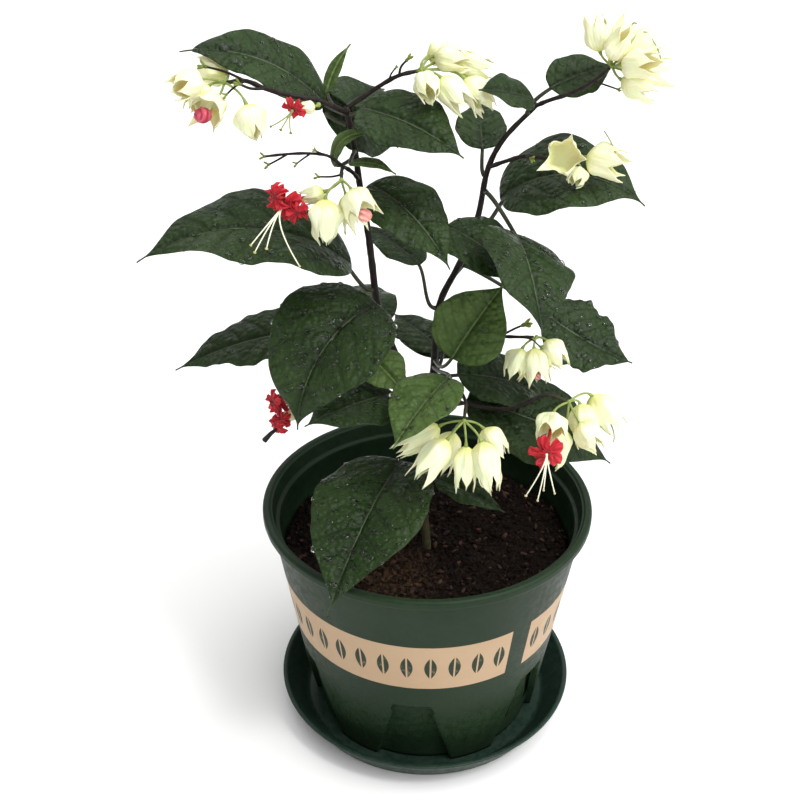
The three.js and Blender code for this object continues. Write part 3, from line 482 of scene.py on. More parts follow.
# Bearing from the end of one length of the band, in lengths: each runs back from 1 to its break.
pitch = 2 * math.pi / BAND_COUNT
lengths = math_node(pot_tree, "DIVIDE", math_node(
    pot_tree, "SUBTRACT", bearing, math.radians(BAND_END) - 2 * math.pi), pitch)
along_band = math_node(pot_tree, "FRACT", lengths)
break_share = BAND_BREAK / (360 / BAND_COUNT)
in_length = span(pot_tree, along_band, break_share - 0.0006, break_share + 0.0006)
height_node = place.outputs["Z"]
above = span(pot_tree, height_node, (BAND_LOW - 0.1) * MM, (BAND_LOW + 0.1) * MM)
below = span(pot_tree, height_node, (BAND_HIGH - 0.1) * MM, (BAND_HIGH + 0.1) * MM, 1.0, 0.0)
wall_side = span(pot_tree, math_node(pot_tree, "SQRT", math_node(
    pot_tree, "ADD", math_node(pot_tree, "POWER", place.outputs["X"], 2.0),
    math_node(pot_tree, "POWER", place.outputs["Y"], 2.0))),
    (PRINT_RADIUS - 0.1) * MM, (PRINT_RADIUS + 0.1) * MM)
band = times(pot_tree, times(pot_tree, above, below), times(pot_tree, in_length, wall_side))
# The ornament: pointed leaf shapes along the middle of the band.
LEAF_SHAPES = 13  # to a length of the band
SHAPE_REACH = 9.5  # half the height of one shape
SHAPE_SPREAD = 0.26  # half its width as a share of the room it has
shape_along = times(pot_tree, along_band, float(LEAF_SHAPES))
shape_x = math_node(pot_tree, "ABSOLUTE", math_node(
    pot_tree, "SUBTRACT", math_node(pot_tree, "FRACT", shape_along), 0.5))
shape_z = math_node(pot_tree, "DIVIDE", math_node(
    pot_tree, "SUBTRACT", height_node, (BAND_LOW + BAND_HIGH) / 2 * MM), SHAPE_REACH * MM)
shape_edge = math_node(pot_tree, "MULTIPLY_ADD", math_node(pot_tree, "POWER", shape_z, 2.0),
                       -SHAPE_SPREAD, SHAPE_SPREAD)
shape_in = span(pot_tree, math_node(pot_tree, "SUBTRACT", shape_edge, shape_x), -0.01, 0.01)
shape_rib = span(pot_tree, shape_x, 0.028, 0.045)
wear = span(pot_tree, pot_dust, 0.0, 0.35, 0.75, 1.0)
past_start = span(pot_tree, along_band, break_share + 0.02, break_share + 0.022)
before_end = span(pot_tree, along_band, 0.985, 0.987, 1.0, 0.0)
shape = times(pot_tree, times(pot_tree, times(pot_tree, times(
    pot_tree, shape_in, shape_rib), wear), past_start), before_end)
tan_tint = mix_colour(pot_tree, pot_tint.outputs[1], srgb(176, 148, 118), BAND_TAN)
printed = mix_colour(pot_tree, shape, tan_tint, BAND_INK)
paint(pot_tree, pot_shader, mix_colour(pot_tree, band, dusty_pot, printed))
make_piece("pot_shell", [(pot_points, pot_faces, 0)], [pot_plastic], ["pot"])

# ---------------------------------------------------------------- the soil
# Peat and bark potting mix, dark and damp, filled to a finger below the rim.  Its crumbs and
# chips of bark lie loose on the heap; the trunk comes up through it.
SOIL_LEVEL, SOIL_BUMP = 122.0, 1.6
TRUNK_FOOT, TRUNK_RADIUS = 95.0, 2.7


def soil_height(x, y):
    """Height of the soil's uneven top."""
    slow = np.sin(x * 0.13 + 1) * np.cos(y * 0.11) + 0.6 * np.sin(x * 0.31 + y * 0.27)
    fine = np.sin(x * 0.9 + 2 * np.sin(y * 0.7)) * np.sin(y * 0.8 + 1.7 * np.sin(x * 0.6))
    return SOIL_LEVEL + SOIL_BUMP * (0.6 * slow + 0.6 * fine)


SOIL_REACH = LEDGE_RADIUS - 4
SOIL_FOOT = POT_FOOT + 3
soil_shares = np.linspace(0, 1, 70)[1:]
soil_angles = np.arange(200) * 2 * math.pi / 200
soil_x = SOIL_REACH * soil_shares[:, None] * np.cos(soil_angles)
soil_y = SOIL_REACH * soil_shares[:, None] * np.sin(soil_angles)
soil_top = np.stack([soil_x, soil_y, soil_height(soil_x, soil_y)], -1)
# Its sides follow the pot's wall down and step in behind the recesses.
soil_steps = ((117.5, 0), (66, 0), (59, RECESS_DEPTH), (SOIL_FOOT, RECESS_DEPTH))
soil_rings = [*soil_top, *[plain_row(pot_radius(z) - (POT_WALL + GAP) - behind, z, soil_top[-1])
                           for z, behind in soil_steps]]
soil_points, soil_faces = skin(soil_rings, (0, 0, float(soil_height(0, 0))), (0, 0, SOIL_FOOT))

peat, peat_tree, peat_shader = new_material("damp_peat", 0.85, Specular_IOR_Level=0.1)
peat_tint = place_mottle(peat_tree, srgb(4, 3, 3), srgb(48, 35, 27), 420.0, 3.4)
peat_patch = speckle(peat_tree, 60.0, 3.0)
peat_colour = mix_colour(peat_tree, times(peat_tree, peat_patch, 0.45), peat_tint.outputs[0],
                         srgb(26, 17, 12))
# A drier, paler patch in front of the trunk.
DRY_PATCH = (-24.0, -36.0, SOIL_LEVEL)
peat_place = add_node(peat_tree, "ShaderNodeTexCoord").outputs["Object"]
peat_away = add_node(peat_tree, "ShaderNodeVectorMath", {"operation": "DISTANCE"},
                     i0=peat_place, i1=[MM * c for c in DRY_PATCH])
peat_dry = times(peat_tree, span(peat_tree, peat_away.outputs["Value"], 0.008, 0.042, 1, 0),
                 span(peat_tree, peat_tint.outputs[1], 0.3, 0.9, 0.1, 0.75))
paint(peat_tree, peat_shader, mix_colour(peat_tree, peat_dry, peat_colour, srgb(100, 76, 54)),
      span(peat_tree, peat_patch, 0, 1, 0.5, 0.95))
place_bump(peat_tree, peat_shader, peat_tint.outputs[1], 1.0, 0.0022)
soil_piece = make_piece("soil_heap", [(soil_points, outward(soil_points, soil_faces), 0)],
                        [peat], ["soil"])

bark_chip, chip_tree, chip_shader = new_material("bark_chips", 0.8, Specular_IOR_Level=0.2)
chip_tint = place_mottle(chip_tree, srgb(16, 10, 8), srgb(80, 54, 41), 220.0, 3.4)
paint(chip_tree, chip_shader, chip_tint.outputs[0],
      span(chip_tree, chip_tint.outputs[1], 0, 1, 0.55, 0.9))
place_bump(chip_tree, chip_shader, chip_tint.outputs[1], 0.6, 0.0006)


def geometry_tree(name, inputs):
    """An empty Geometry Nodes tree with a geometry in and out and named inputs."""
    tree = bpy.data.node_groups.new(name, "GeometryNodeTree")
    tree.interface.new_socket("Geometry", in_out="INPUT", socket_type="NodeSocketGeometry")
    tree.interface.new_socket("Geometry", in_out="OUTPUT", socket_type="NodeSocketGeometry")
    for label, (kind, value) in inputs.items():
        socket = tree.interface.new_socket(label, in_out="INPUT", socket_type=kind)
        if value is not None:
            socket.default_value = value
    return tree, tree.nodes.new("NodeGroupInput"), tree.nodes.new("NodeGroupOutput")


def grow(holder, tree, values):
    """The plain mesh that a Geometry Nodes tree makes of an object, with its inputs set."""
    modifier = holder.modifiers.new(tree.name, "NODES")
    modifier.node_group = tree
    for socket in tree.interface.items_tree:
        if socket.in_out == "INPUT" and socket.name in values:
            modifier[socket.identifier] = values[socket.name]
    graph = bpy.context.evaluated_depsgraph_get()
    graph.update()
    mesh = bpy.data.meshes.new_from_object(holder.evaluated_get(graph))
    holder.modifiers.remove(modifier)
    return mesh


# Grains strewn over upward faces: flattened pebbles of random size, turned at random.
strew, strew_in, strew_out = geometry_tree("strew_grains", {
    "Density": ("NodeSocketFloat", 100000.0), "Smallest": ("NodeSocketFloat", 0.0004),
    "Largest": ("NodeSocketFloat", 0.0015), "Shape": ("NodeSocketVector", (1.0, 0.7, 0.5)),
    "Lift": ("NodeSocketFloat", 0.0), "Level": ("NodeSocketFloat", 0.9), "Upright": ("NodeSocketBool", False),
    "Rings": ("NodeSocketInt", 4), "Seed": ("NodeSocketInt", 1),
    "Material": ("NodeSocketMaterial", None)})
face_normal = strew.nodes.new("GeometryNodeInputNormal")
face_up = add_node(strew, "ShaderNodeSeparateXYZ", Vector=face_normal.outputs[0])
facing = add_node(strew, "FunctionNodeCompare", {"data_type": "FLOAT", "operation": "GREATER_THAN"},
                  i0=face_up.outputs["Z"], i1=strew_in.outputs["Level"])
spots = add_node(strew, "GeometryNodeDistributePointsOnFaces", Mesh=strew_in.outputs["Geometry"],
                 Selection=facing.outputs[0], Density=strew_in.outputs["Density"],
                 Seed=strew_in.outputs["Seed"])
any_turn = add_node(strew, "FunctionNodeRandomValue", {"data_type": "FLOAT_VECTOR"},
                    i0=(-0.5, -0.5, -3.1), i1=(0.5, 0.5, 3.1), Seed=strew_in.outputs["Seed"])
turn = add_node(strew, "FunctionNodeEulerToRotation", Euler=any_turn.outputs[0])
chosen = add_node(strew, "GeometryNodeSwitch", {"input_type": "ROTATION"},
                  Switch=strew_in.outputs["Upright"], i1=turn.outputs[0], i2=spots.outputs["Rotation"])
size_share = add_node(strew, "FunctionNodeRandomValue", {"data_type": "FLOAT"}, Seed=7)
size_curve = add_node(strew, "ShaderNodeMath", {"operation": "POWER"}, i0=size_share.outputs[1], i1=2.5)
grain_size = add_node(strew, "ShaderNodeMapRange", Value=size_curve.outputs[0],
                      To_Min=strew_in.outputs["Smallest"], To_Max=strew_in.outputs["Largest"])
grain_shape = add_node(strew, "ShaderNodeVectorMath", {"operation": "SCALE"},
                       i0=strew_in.outputs["Shape"], Scale=grain_size.outputs[0])
grain = add_node(strew, "GeometryNodeMeshUVSphere", Segments=7, Rings=strew_in.outputs["Rings"],
                 Radius=1.0)
lifted = add_node(strew, "ShaderNodeCombineXYZ", Z=strew_in.outputs["Lift"])
raised = add_node(strew, "GeometryNodeSetPosition", Geometry=spots.outputs["Points"],
                  Offset=lifted.outputs[0])
strewn = add_node(strew, "GeometryNodeInstanceOnPoints", Points=raised.outputs[0],
                  Instance=grain.outputs["Mesh"], Rotation=chosen.outputs[0],
                  Scale=grain_shape.outputs[0])
made_real = add_node(strew, "GeometryNodeRealizeInstances", Geometry=strewn.outputs[0])
smoothed = add_node(strew, "GeometryNodeSetShadeSmooth", Geometry=made_real.outputs[0])
finished = add_node(strew, "GeometryNodeSetMaterial", Geometry=smoothed.outputs[0],
                    Material=strew_in.outputs["Material"])
strew.links.new(finished.outputs[0], strew_out.inputs[0])


def strew_piece(name, holder, values):
    """Strewn grains as a piece of their own."""
    mesh = grow(holder, strew, values)
    mesh.name = name
    place_piece(name, mesh)


strew_piece("soil_crumbs", soil_piece, {
    "Density": 120000.0, "Smallest": 0.0006, "Largest": 0.0028, "Shape": (1.0, 0.75, 0.6),
    "Level": 0.5, "Rings": 4, "Seed": 4, "Material": peat})
strew_piece("bark_bits", soil_piece, {
    "Density": 24000.0, "Smallest": 0.0005, "Largest": 0.003, "Shape": (1.0, 0.5, 0.35),
    "Lift": 0.0006, "Level": 0.5, "Rings": 4, "Seed": 9, "Material": bark_chip})

# ---------------------------------------------------------------- the stems
# A slender woody trunk that forks above the soil into two twining branches.  The trunk is olive
# brown, the branches almost black and the peduncles green at the tips, with small pointed buds.
STEMS = {
    "trunk": [(0, -10, TRUNK_FOOT), (0, -10, 110), (0, -10, 124), (-2, -5, 146), (-4, 0, 172),
              (-6, 4, 197)],
    "left": [(-6, 4, 192), (-16, 8, 236), (-29, 8, 279), (-32, 6, 306), (-34, 4, 326), (-38, 2, 354),
             (-40, 1, 372), (-44, 0, 395)],
    "right": [(-5, 3, 186), (3, 14, 233), (6, 18, 274), (17, 18, 300), (26, 17, 327), (31, 16, 357),
              (38, 14, 373), (55, 12, 393)],
}
STEM_RADII = {"trunk": (TRUNK_RADIUS, 2.4), "left": (2.3, 1.5), "right": (2.2, 1.3)}
HUB_RADIUS = 1.3
# Peduncles and twigs: points, radius, and the cyme that each carries or the radius of its bud.
TWIGS = [
    ([(-43, 0, 392), (-57, -12, 402), (-71, -16, 406), (-83, -15, 409), (-93, -12, 412),
      (-104, -8, 410)], 1.3, "cyme_a"),
    ([(-93, -12, 412), (-103, -10, 416), (-113, -8, 418)], 0.7, 1.4),
    ([(-83, -15, 409), (-90, -18, 410), (-95, -18, 412)], 0.8, 1.2),
    ([(-57, -12, 402), (-57, -13, 401.5), (-57, -15.5, 401)], 0.7, "cyme_b"),
    ([(-44, 1, 394), (-27, 3, 405), (-17, 1, 411), (-6, 0, 414)], 1.2, "cyme_c"),
    ([(-17, 1, 411), (-16, 2, 415), (-13, 4, 418)], 0.7, 1.3),
    ([(54, 12, 392), (60, 5, 397), (72, 0, 403), (81, -2, 409), (90, 0, 416)], 1.1, "cyme_d"),
    ([(31, 16, 357), (39, 6, 364), (49, 0, 369), (61, -4, 369), (74, -4, 368)], 1.1, "cyme_e"),
    ([(49, 0, 369), (50, -4, 370), (51, -7, 370)], 0.7, 1.3),
    ([(-38, 2, 355), (-41, -8, 363), (-45, -14, 368), (-46, -21, 369), (-46, -27, 366)], 1.1, "cyme_f"),
    ([(-45, -14, 368), (-53, -14, 374), (-62, -13, 375), (-74, -11, 374), (-86, -9, 372)], 0.8, 1.1),
    ([(-74, -11, 374), (-79, -11, 371), (-84, -10, 368)], 0.6, 1.1),
    ([(5, 16, 255), (15, 14, 254), (28, 4, 259), (39, -6, 266), (50, -12, 269), (59, -14, 270)], 1,
     "cyme_g"),
    ([(39, -6, 266), (47, -8, 272), (52, -9, 275)], 0.7, 1.8),
    ([(2, 13, 228), (8, -4, 240), (14, -28, 247), (19, -44, 246), (18, -52, 239)], 1.1, "cyme_h"),
    ([(1, 11, 222), (10, 0, 224), (23, -20, 230), (44, -36, 237), (64, -38, 247), (76, -37, 242)], 1.1,
     "cyme_i"),
    ([(-12, 6, 222), (-34, 8, 220), (-56, 5, 221), (-70, 1, 222)], 0.9, "cyme_j"),
]
# Short forks of the peduncles, each with its radius and the radius of its buds.
SIDE_SHOOTS = [
    ([(-46, -19, 366), (-51, -18, 364.5), (-58, -17, 364)], 0.6, 1.0),
    ([(-52, -14, 373.5), (-56, -15, 375.5), (-59, -15, 377)], 0.5, 0.8),
    ([(-62, -13, 375), (-66, -14, 372.5), (-69, -15, 370.5)], 0.5, 0.9),
    ([(-93, -12, 412), (-98, -15, 410), (-102, -18, 407)], 0.6, 1.0),
    ([(-17, 1, 411), (-12, -3, 413), (-8, -5, 415)], 0.6, 0.9),
    ([(-22, 2, 408.3), (-21, 0, 412), (-19, -1, 415)], 0.5, 0.8),
    ([(81, -2, 409), (87, -6, 408), (92, -9, 407)], 0.5, 0.8),
    ([(50, -12, 269), (56, -17, 270), (60, -21, 268)], 0.5, 0.9),
]


def smooth_point(points, share):
    """A point of the smooth curve through the points, at a share of the way along them."""
    points = np.asarray(points, float)
    last = len(points) - 1
    spot = min(share * last, last - 1e-9)
    i = int(spot)
    w = spot - i
    p1, p2 = points[i], points[i + 1]
    p0 = points[i - 1] if i > 0 else 2 * points[0] - points[1]
    p3 = points[i + 2] if i + 2 <= last else 2 * points[-1] - points[-2]
    d0, d1, d2 = (math.sqrt(np.linalg.norm(b - a)) for a, b in ((p0, p1), (p1, p2), (p2, p3)))
    m1 = d1 * ((p1 - p0) / d0 - (p2 - p0) / (d0 + d1) + (p2 - p1) / d1)
    m2 = d1 * ((p2 - p1) / d1 - (p3 - p1) / (d1 + d2) + (p3 - p2) / d2)
    return p1 + m1 * w + (-3 * p1 + 3 * p2 - 2 * m1 - m2) * w * w + (2 * p1 - 2 * p2 + m1 + m2) * w ** 3


def smooth_path(points, steps):
    """Points spaced along the smooth curve."""
    return np.array([smooth_point(points, k / steps) for k in range(steps + 1)])


def stem_station(name, height):
    """The point of a branch at a height, its direction there and its radius."""
    low, high = 0.0, 1.0
    for _ in range(30):
        middle = (low + high) / 2
        low, high = (middle, high) if smooth_point(STEMS[name], middle)[2] < height else (low, middle)
    ahead = smooth_point(STEMS[name], min(low + 0.01, 1)) - smooth_point(STEMS[name], max(low - 0.01, 0))
    start, end = STEM_RADII[name]
    return smooth_point(STEMS[name], low), ahead / np.linalg.norm(ahead), start + (end - start) * low


# Round shoots along paths: each path is a spline whose points carry their radius and a mask.
sweep, sweep_in, sweep_out = geometry_tree("sweep_shoots", {
    "Sides": ("NodeSocketInt", 10), "Material": ("NodeSocketMaterial", None)})
sweep_ring = add_node(sweep, "GeometryNodeCurvePrimitiveCircle", Resolution=sweep_in.outputs["Sides"],
                      Radius=1.0)
sweep_along = sweep.nodes.new("GeometryNodeSplineParameter")
sweep_kept = add_node(sweep, "GeometryNodeStoreNamedAttribute", {"data_type": "FLOAT", "domain": "POINT"},
                      Geometry=sweep_in.outputs["Geometry"], Name="along",
                      Value=sweep_along.outputs["Factor"])
sweep_radius = sweep.nodes.new("GeometryNodeInputRadius")
sweep_mesh = add_node(sweep, "GeometryNodeCurveToMesh", Curve=sweep_kept.outputs[0],
                      Profile_Curve=sweep_ring.outputs[0], Scale=sweep_radius.outputs[0], Fill_Caps=True)
sweep_real = add_node(sweep, "GeometryNodeRealizeInstances", Geometry=sweep_mesh.outputs[0])
sweep_done = add_node(sweep, "GeometryNodeSetMaterial", Geometry=sweep_real.outputs[0],
                      Material=sweep_in.outputs["Material"])
sweep.links.new(sweep_done.outputs[0], sweep_out.inputs[0])


def sweep_paths(paths, sides, number, masks=None):
    """Parts for make_piece: each path (points, radii) swept into a closed shoot.  The mask runs
    from the first to the second of a pair along each path, 0 to 1 unless it is given."""
    curve = bpy.data.curves.new("shoots", "CURVE")
    curve.dimensions = "3D"
    for points, radii in paths:
        spline = curve.splines.new("POLY")
        spline.points.add(len(points) - 1)
        rows = np.hstack([np.asarray(points, float), np.ones((len(points), 1))])
        spline.points.foreach_set("co", rows.ravel())
        spline.points.foreach_set("radius", np.broadcast_to(radii, len(points)).astype(float))
    holder = bpy.data.objects.new("shoots", curve)
    scene.collection.objects.link(holder)
    mesh = grow(holder, sweep, {"Sides": sides})
    bpy.data.objects.remove(holder)
    spots = np.empty(len(mesh.vertices) * 3)
    mesh.vertices.foreach_get("co", spots)
    along = np.empty(len(mesh.vertices))
    mesh.attributes["along"].data.foreach_get("value", along)
    faces = [list(p.vertices) for p in mesh.polygons]
    if masks is not None:
        counts = [len(points) * sides for points, _ in paths]
        ends = np.repeat(np.array(masks, float), counts, axis=0)
        along = ends[:, 0] + (ends[:, 1] - ends[:, 0]) * along
    bpy.data.meshes.remove(mesh)
    return spots.reshape(-1, 3), faces, number, np.zeros((len(along), 2)), along


def knob(centre, radius, number, axis=(0, 0, 1), length=1.0, mask=1.0):
    """A small smooth bud or knob, drawn out along its axis."""
    axis = np.array(axis, float) / np.linalg.norm(axis)
    side = np.cross(axis, (0.3, 0.9, 0.2))
    side /= np.linalg.norm(side)
    other = np.cross(axis, side)
    angles = np.arange(10) * 2 * math.pi / 10
    rings = [np.array(centre) - axis * math.cos(a) * radius * length + math.sin(a) * radius
             * (np.cos(angles)[:, None] * side + np.sin(angles)[:, None] * other)
             for a in np.linspace(0, math.pi, 8)[1:-1]]
    tips = [np.array(centre) + axis * sign * radius * length for sign in (-1, 1)]
    points, faces = skin(rings, *tips)
    return points, outward(points, faces), number, np.zeros((len(points), 2)), np.full(len(points), mask)


def mask_of(tree):
    """The number that each point of a piece carries."""
    return add_node(tree, "ShaderNodeAttribute", {"attribute_name": "mask"}).outputs["Fac"]


bark, bark_tree, bark_shader = new_material("stem_bark", 0.55, Specular_IOR_Level=0.2)
bark_along = mask_of(bark_tree)
bark_old = place_mottle(bark_tree, srgb(16, 12, 12), srgb(46, 37, 33), 320.0, 2.4)
bark_young = place_mottle(bark_tree, srgb(84, 100, 40), srgb(148, 160, 78), 300.0, 1.6)
bark_trunk = place_mottle(bark_tree, srgb(52, 50, 32), srgb(92, 88, 60), 260.0, 2.0)
bark_up = mix_colour(bark_tree, span(bark_tree, bark_along, 0.72, 1.1),
                     bark_old.outputs[0], bark_young.outputs[0])
bark_all = mix_colour(bark_tree, span(bark_tree, bark_along, -1.0, -0.35, 1.0, 0.0),
                      bark_up, bark_trunk.outputs[0])
paint(bark_tree, bark_shader, bark_all)
place_bump(bark_tree, bark_shader, bark_old.outputs[1], 0.6, 0.0003)

BUD_SWINGS = [(0.2, 0.1, 0.75), (-0.2, -0.5, -0.35), (0.3, -0.2, -0.1)]  # how a tip's buds spread
STEM_STEPS, TWIG_STEPS = 60, 8  # rings along a stem, and between two points of a twig
stem_paths, stem_masks = [], []
for stem_name, stem_points in STEMS.items():
    path = smooth_path(stem_points, STEM_STEPS)
    radii = np.linspace(*STEM_RADII[stem_name], len(path))
    bumps = 1 + 0.07 * np.sin(np.arange(len(path)) * 1.7) * np.sin(np.arange(len(path)) * 0.43)
    stem_paths.append((path, radii * bumps))
    stem_masks.append((-1.0, -0.5) if stem_name == "trunk" else (-0.5, 0.45))
stem_parts = []
for twig_points, twig_radius, carries in TWIGS + SIDE_SHOOTS:
    twig = np.array(twig_points, float)
    if isinstance(carries, str):
        back = twig[-2] - twig[-1]
        twig[-1] += back / np.linalg.norm(back) * (HUB_RADIUS + GAP)
    path = smooth_path(twig, TWIG_STEPS * (len(twig) - 1))
    place_in_step = np.arange(len(path)) % TWIG_STEPS - TWIG_STEPS / 2
    swell = 1 + 0.22 * np.exp(-(place_in_step / 1.3) ** 2)[::-1] * (len(twig) > 3)
    stem_paths.append((path, twig_radius * np.linspace(1, 0.8, len(path)) * swell))
    stem_masks.append((0.4, 0.8))
    if not isinstance(carries, str):
        tip = (path[-1] - path[-2]) / np.linalg.norm(path[-1] - path[-2])
        stem_parts.append(knob(path[-1], carries * 0.7, 0, tip, 1.5, 0.95))
        for swing in BUD_SWINGS:
            aim = tip + np.array(swing)
            aim /= np.linalg.norm(aim)
            stem_parts.append(knob(path[-1] + aim * carries * 1.7, carries * 0.52, 0, aim, 2.6, 1.35))
stem_parts.insert(0, sweep_paths(stem_paths, 12, 0, stem_masks))
make_piece("stem_wood", stem_parts, [bark], ["stem"])

# ---------------------------------------------------------------- the leaves
# Opposite pointed leaves, each blade folded along a sunken midrib and quilted between its side
# veins, on a round petiole that runs on as the rib under the blade.  Old leaves are dark and
# glossy, new ones a fresh green; a few drops of water stand on them.
LEAF_THICK, LEAF_FOLD, LEAF_ARCH, LEAF_WAVE, PETIOLE_RADIUS = 0.65, 14.0, 0.2, 0.028, 1.1
# Name, stem and height of the node, foot of the blade, heading, pitch, length, width, droop, roll.
LEAVES = [
    ("top_left", "left", 391, (-56, 17, 391), -167, 54, 77, 42, 56, -28),
    ("top_young", "left", 393, (-54, 1, 402), 22, 75, 27, 7, 30, 60),
    ("top_back", "left", 389, (-44, 10, 393), 62, 8, 40, 42, 22, 16),
    ("under_top", "left", 385, (-57, 15, 388), 33, -22, 54, 46, 18, 38),
    ("top_right", "left", 391, (-37, -5, 396), -31, 2, 62, 44, 32, 20),
    ("curl", "left", 368, (-50, -8, 366), -10, 104, 31, 10, 118, 42),
    ("bract", "left", 372, (-42, -15, 370), -22, 24, 26, 8, 56, 20),
    ("left_large", "left", 290, (-43, -4, 309), -166, 46, 120, 71, 76, -12),
    ("upper_mid", "left", 346, (-33, 3, 352), -44, -2, 67, 40, 50, 16),
    ("behind_mid", "right", 272, (-5, 14, 301), 134, 20, 46, 28, 14, 0),
    ("right_arm", "right", 312, (8, -3, 331), -29, -9, 55, 45, 38, 8),
    ("right_bend", "right", 344, (45, -10, 329.5), -80, 0, 67, 57, 54, -26),
    ("right_large", "right", 322, (38, 14, 340), -11, 46, 84, 64, 88, 20),
    ("heart", "right", 352, (28, 22, 365), 91, 26, 43, 29, 10, 0),
    ("tip_left", "right", 388, (51, -2, 400), -150, 26, 34, 25, 20, -30),
    ("tip_right", "right", 390, (61, 13, 401), 26, 20, 40, 28, 20, 32),
    ("light", "right", 240, (12, -22, 261), 21, 58, 49, 43, 10, 50),
    ("light_low", "right", 236, (10, -30, 253), -123, -2, 57, 40, 28, 0),
    ("big_left", "left", 262, (-29, -6, 286), -134, 6, 90, 70, 92, -17),
    ("low_left", "left", 226, (-20, -21, 238), -141, 12, 60, 46, 20, -10),
    ("low_mid", "left", 240, (-36, -10, 258), -43, -16, 33, 30, 20, 10),
    ("far_left", "left", 244, (-59, 10, 262), -177, 0, 90, 44, 30, -14),
    ("rim", "trunk", 172, (-16, -20, 192), -113, 0, 105, 68, 40, 0),
    ("low_small", "trunk", 166, (5, -14, 175), -22, -6, 44, 26, 20, 0),
    ("low_right", "right", 212, (22, -5, 224), -7, -8, 92, 66, 30, 20),
    ("right_droop", "right", 300, (66, 11, 272), -17, -32, 56, 50, -14, 22),
    ("shade_a", "right", 232, (10, 24, 240), 125, 10, 53, 36, 12, 0),
    ("shade_c", "right", 232, (16, -8, 243), 10, -4, 56, 48, 32, 16),
    ("back_low", "right", 218, (6, 30, 232), 82, 6, 84, 56, 40, 0),
    ("back_left", "left", 246, (-30, 22, 258), 118, 16, 78, 50, 50, 0),
    ("back_right", "right", 292, (22, 32, 296), 58, 4, 70, 46, 44, 0),
]
# low_left is a fresh leaf, but it wears the dark skin as painted shade.
FRESH_SKINS = ("light", "light_low", "low_mid", "top_young", "bract", "curl")  # in the fresh green skin
# Where a leaf isn't as usual: the length of its thin tip as a share, how uneven its margin is, how
# far it narrows into its tip, and its fold in degrees.
TIP, TIPS = 0.02, {"top_left": 0.08, "left_large": 0.03, "rim": 0.06}
UNEVEN, RAGGED = 0.012, {"far_left": 0.05, "right_droop": 0.06, "left_large": 0.025}
NARROWING, DRAWN_OUT = 0.75, {"top_left": 0.2, "right_arm": 0.5}
FOLDS = {"light": 28.0, "light_low": 22.0, "big_left": 19.0, "rim": 19.0}


def turned_frame(heading, pitch, roll):
    """The tangent, side and normal of something that points along heading and pitch."""
    h, p, r = (math.radians(a) for a in (heading, pitch, roll))
    tangent = np.array([math.cos(p) * math.cos(h), math.cos(p) * math.sin(h), math.sin(p)])
    side = np.array([-math.sin(h), math.cos(h), 0.0])
    normal = np.cross(tangent, side)
    return (tangent, side * math.cos(r) + normal * math.sin(r),
            normal * math.cos(r) - side * math.sin(r))


def midrib_point(leaf, t):
    """A point on the midrib, which bends evenly downwards by the leaf's droop."""
    foot, heading, pitch, length, _, droop, _ = leaf[3:]
    start, bend, h = math.radians(pitch), math.radians(droop), math.radians(heading)
    run = length * (math.sin(start) - math.sin(start - bend * t)) / bend
    rise = length * (math.cos(start - bend * t) - math.cos(start)) / bend
    return np.array(foot, float) + (run * math.cos(h), run * math.sin(h), rise)


def blade_width(t, drawn_out):
    """Half width as a share of the greatest: a rounded foot and a drawn-out tip."""
    return np.clip(np.sin(math.pi * t ** 0.74), 0, None) ** (0.62 + drawn_out * t * t)


def blade_grid(leaf):
    """The middle surface of a blade as a grid, with its vein coordinates."""
    _, heading, pitch, length, width, droop, roll = leaf[3:]
    steps, halves = max(14, round(length / 1.2)), max(5, round(width / 2.8))
    t = np.linspace(0, 1 + TIPS.get(leaf[0], TIP), steps + 1)[:, None]
    across = np.linspace(-1, 1, 2 * halves + 1)[None, :]
    half = np.maximum(blade_width(t, DRAWN_OUT.get(leaf[0], NARROWING)) * width / 2,
                      0.45 - 2.0 * np.clip(t - 1, 0, 0.15))
    fade = np.minimum(1, 4 * t) * np.clip(5 * (1 - t), 0, 1)
    edge = np.sin(7.3 * math.pi * t + length) + 0.6 * np.sin(17.7 * math.pi * t + np.sign(across) + width)
    half = half * (1 + RAGGED.get(leaf[0], UNEVEN) * edge * np.abs(across) * fade)
    swing = np.sin(5.2 * math.pi * t + length * 0.37 + np.where(across < 0, 0, 1.3)) * fade
    fold = math.radians(FOLDS.get(leaf[0], LEAF_FOLD))
    lift = (np.abs(across) * half * math.sin(fold) - LEAF_ARCH * half * across ** 2
            + LEAF_WAVE * width * across ** 2 * swing)
    lateral = across * half * math.cos(math.radians(LEAF_FOLD))
    x = np.abs(lateral)
    spacing = max(6.0, length / 6.2)
    phase = (t * length - 0.6 * x - 0.014 * x * x + 0.28 * spacing * (across < 0)) / spacing
    beside = np.abs(phase - np.floor(phase) - 0.5)
    inner = np.clip(1.25 - np.abs(across), 0, 1) * fade
    puff = 0.085 * spacing * (0.5 - 2 * (0.5 - beside) ** 2) * np.minimum(1, x / 3.5) * inner
    groove = 0.03 * spacing * np.exp(-(beside / 0.06) ** 2) * inner * np.minimum(1, x / 1.5)
    crease = 0.6 * np.exp(-(x / 1.3) ** 2) * fade
    lift = lift + puff - groove - crease
    points = np.empty((steps + 1, 2 * halves + 1, 3))
    for i, share in enumerate(t[:, 0]):
        _, side, normal = turned_frame(heading, pitch - droop * share, roll)
        points[i] = (midrib_point(leaf, share) + lateral[i][:, None] * side
                     + lift[i][:, None] * normal)
    uv = np.stack([phase, lateral / 10 + 0 * t], -1)
    return points, uv


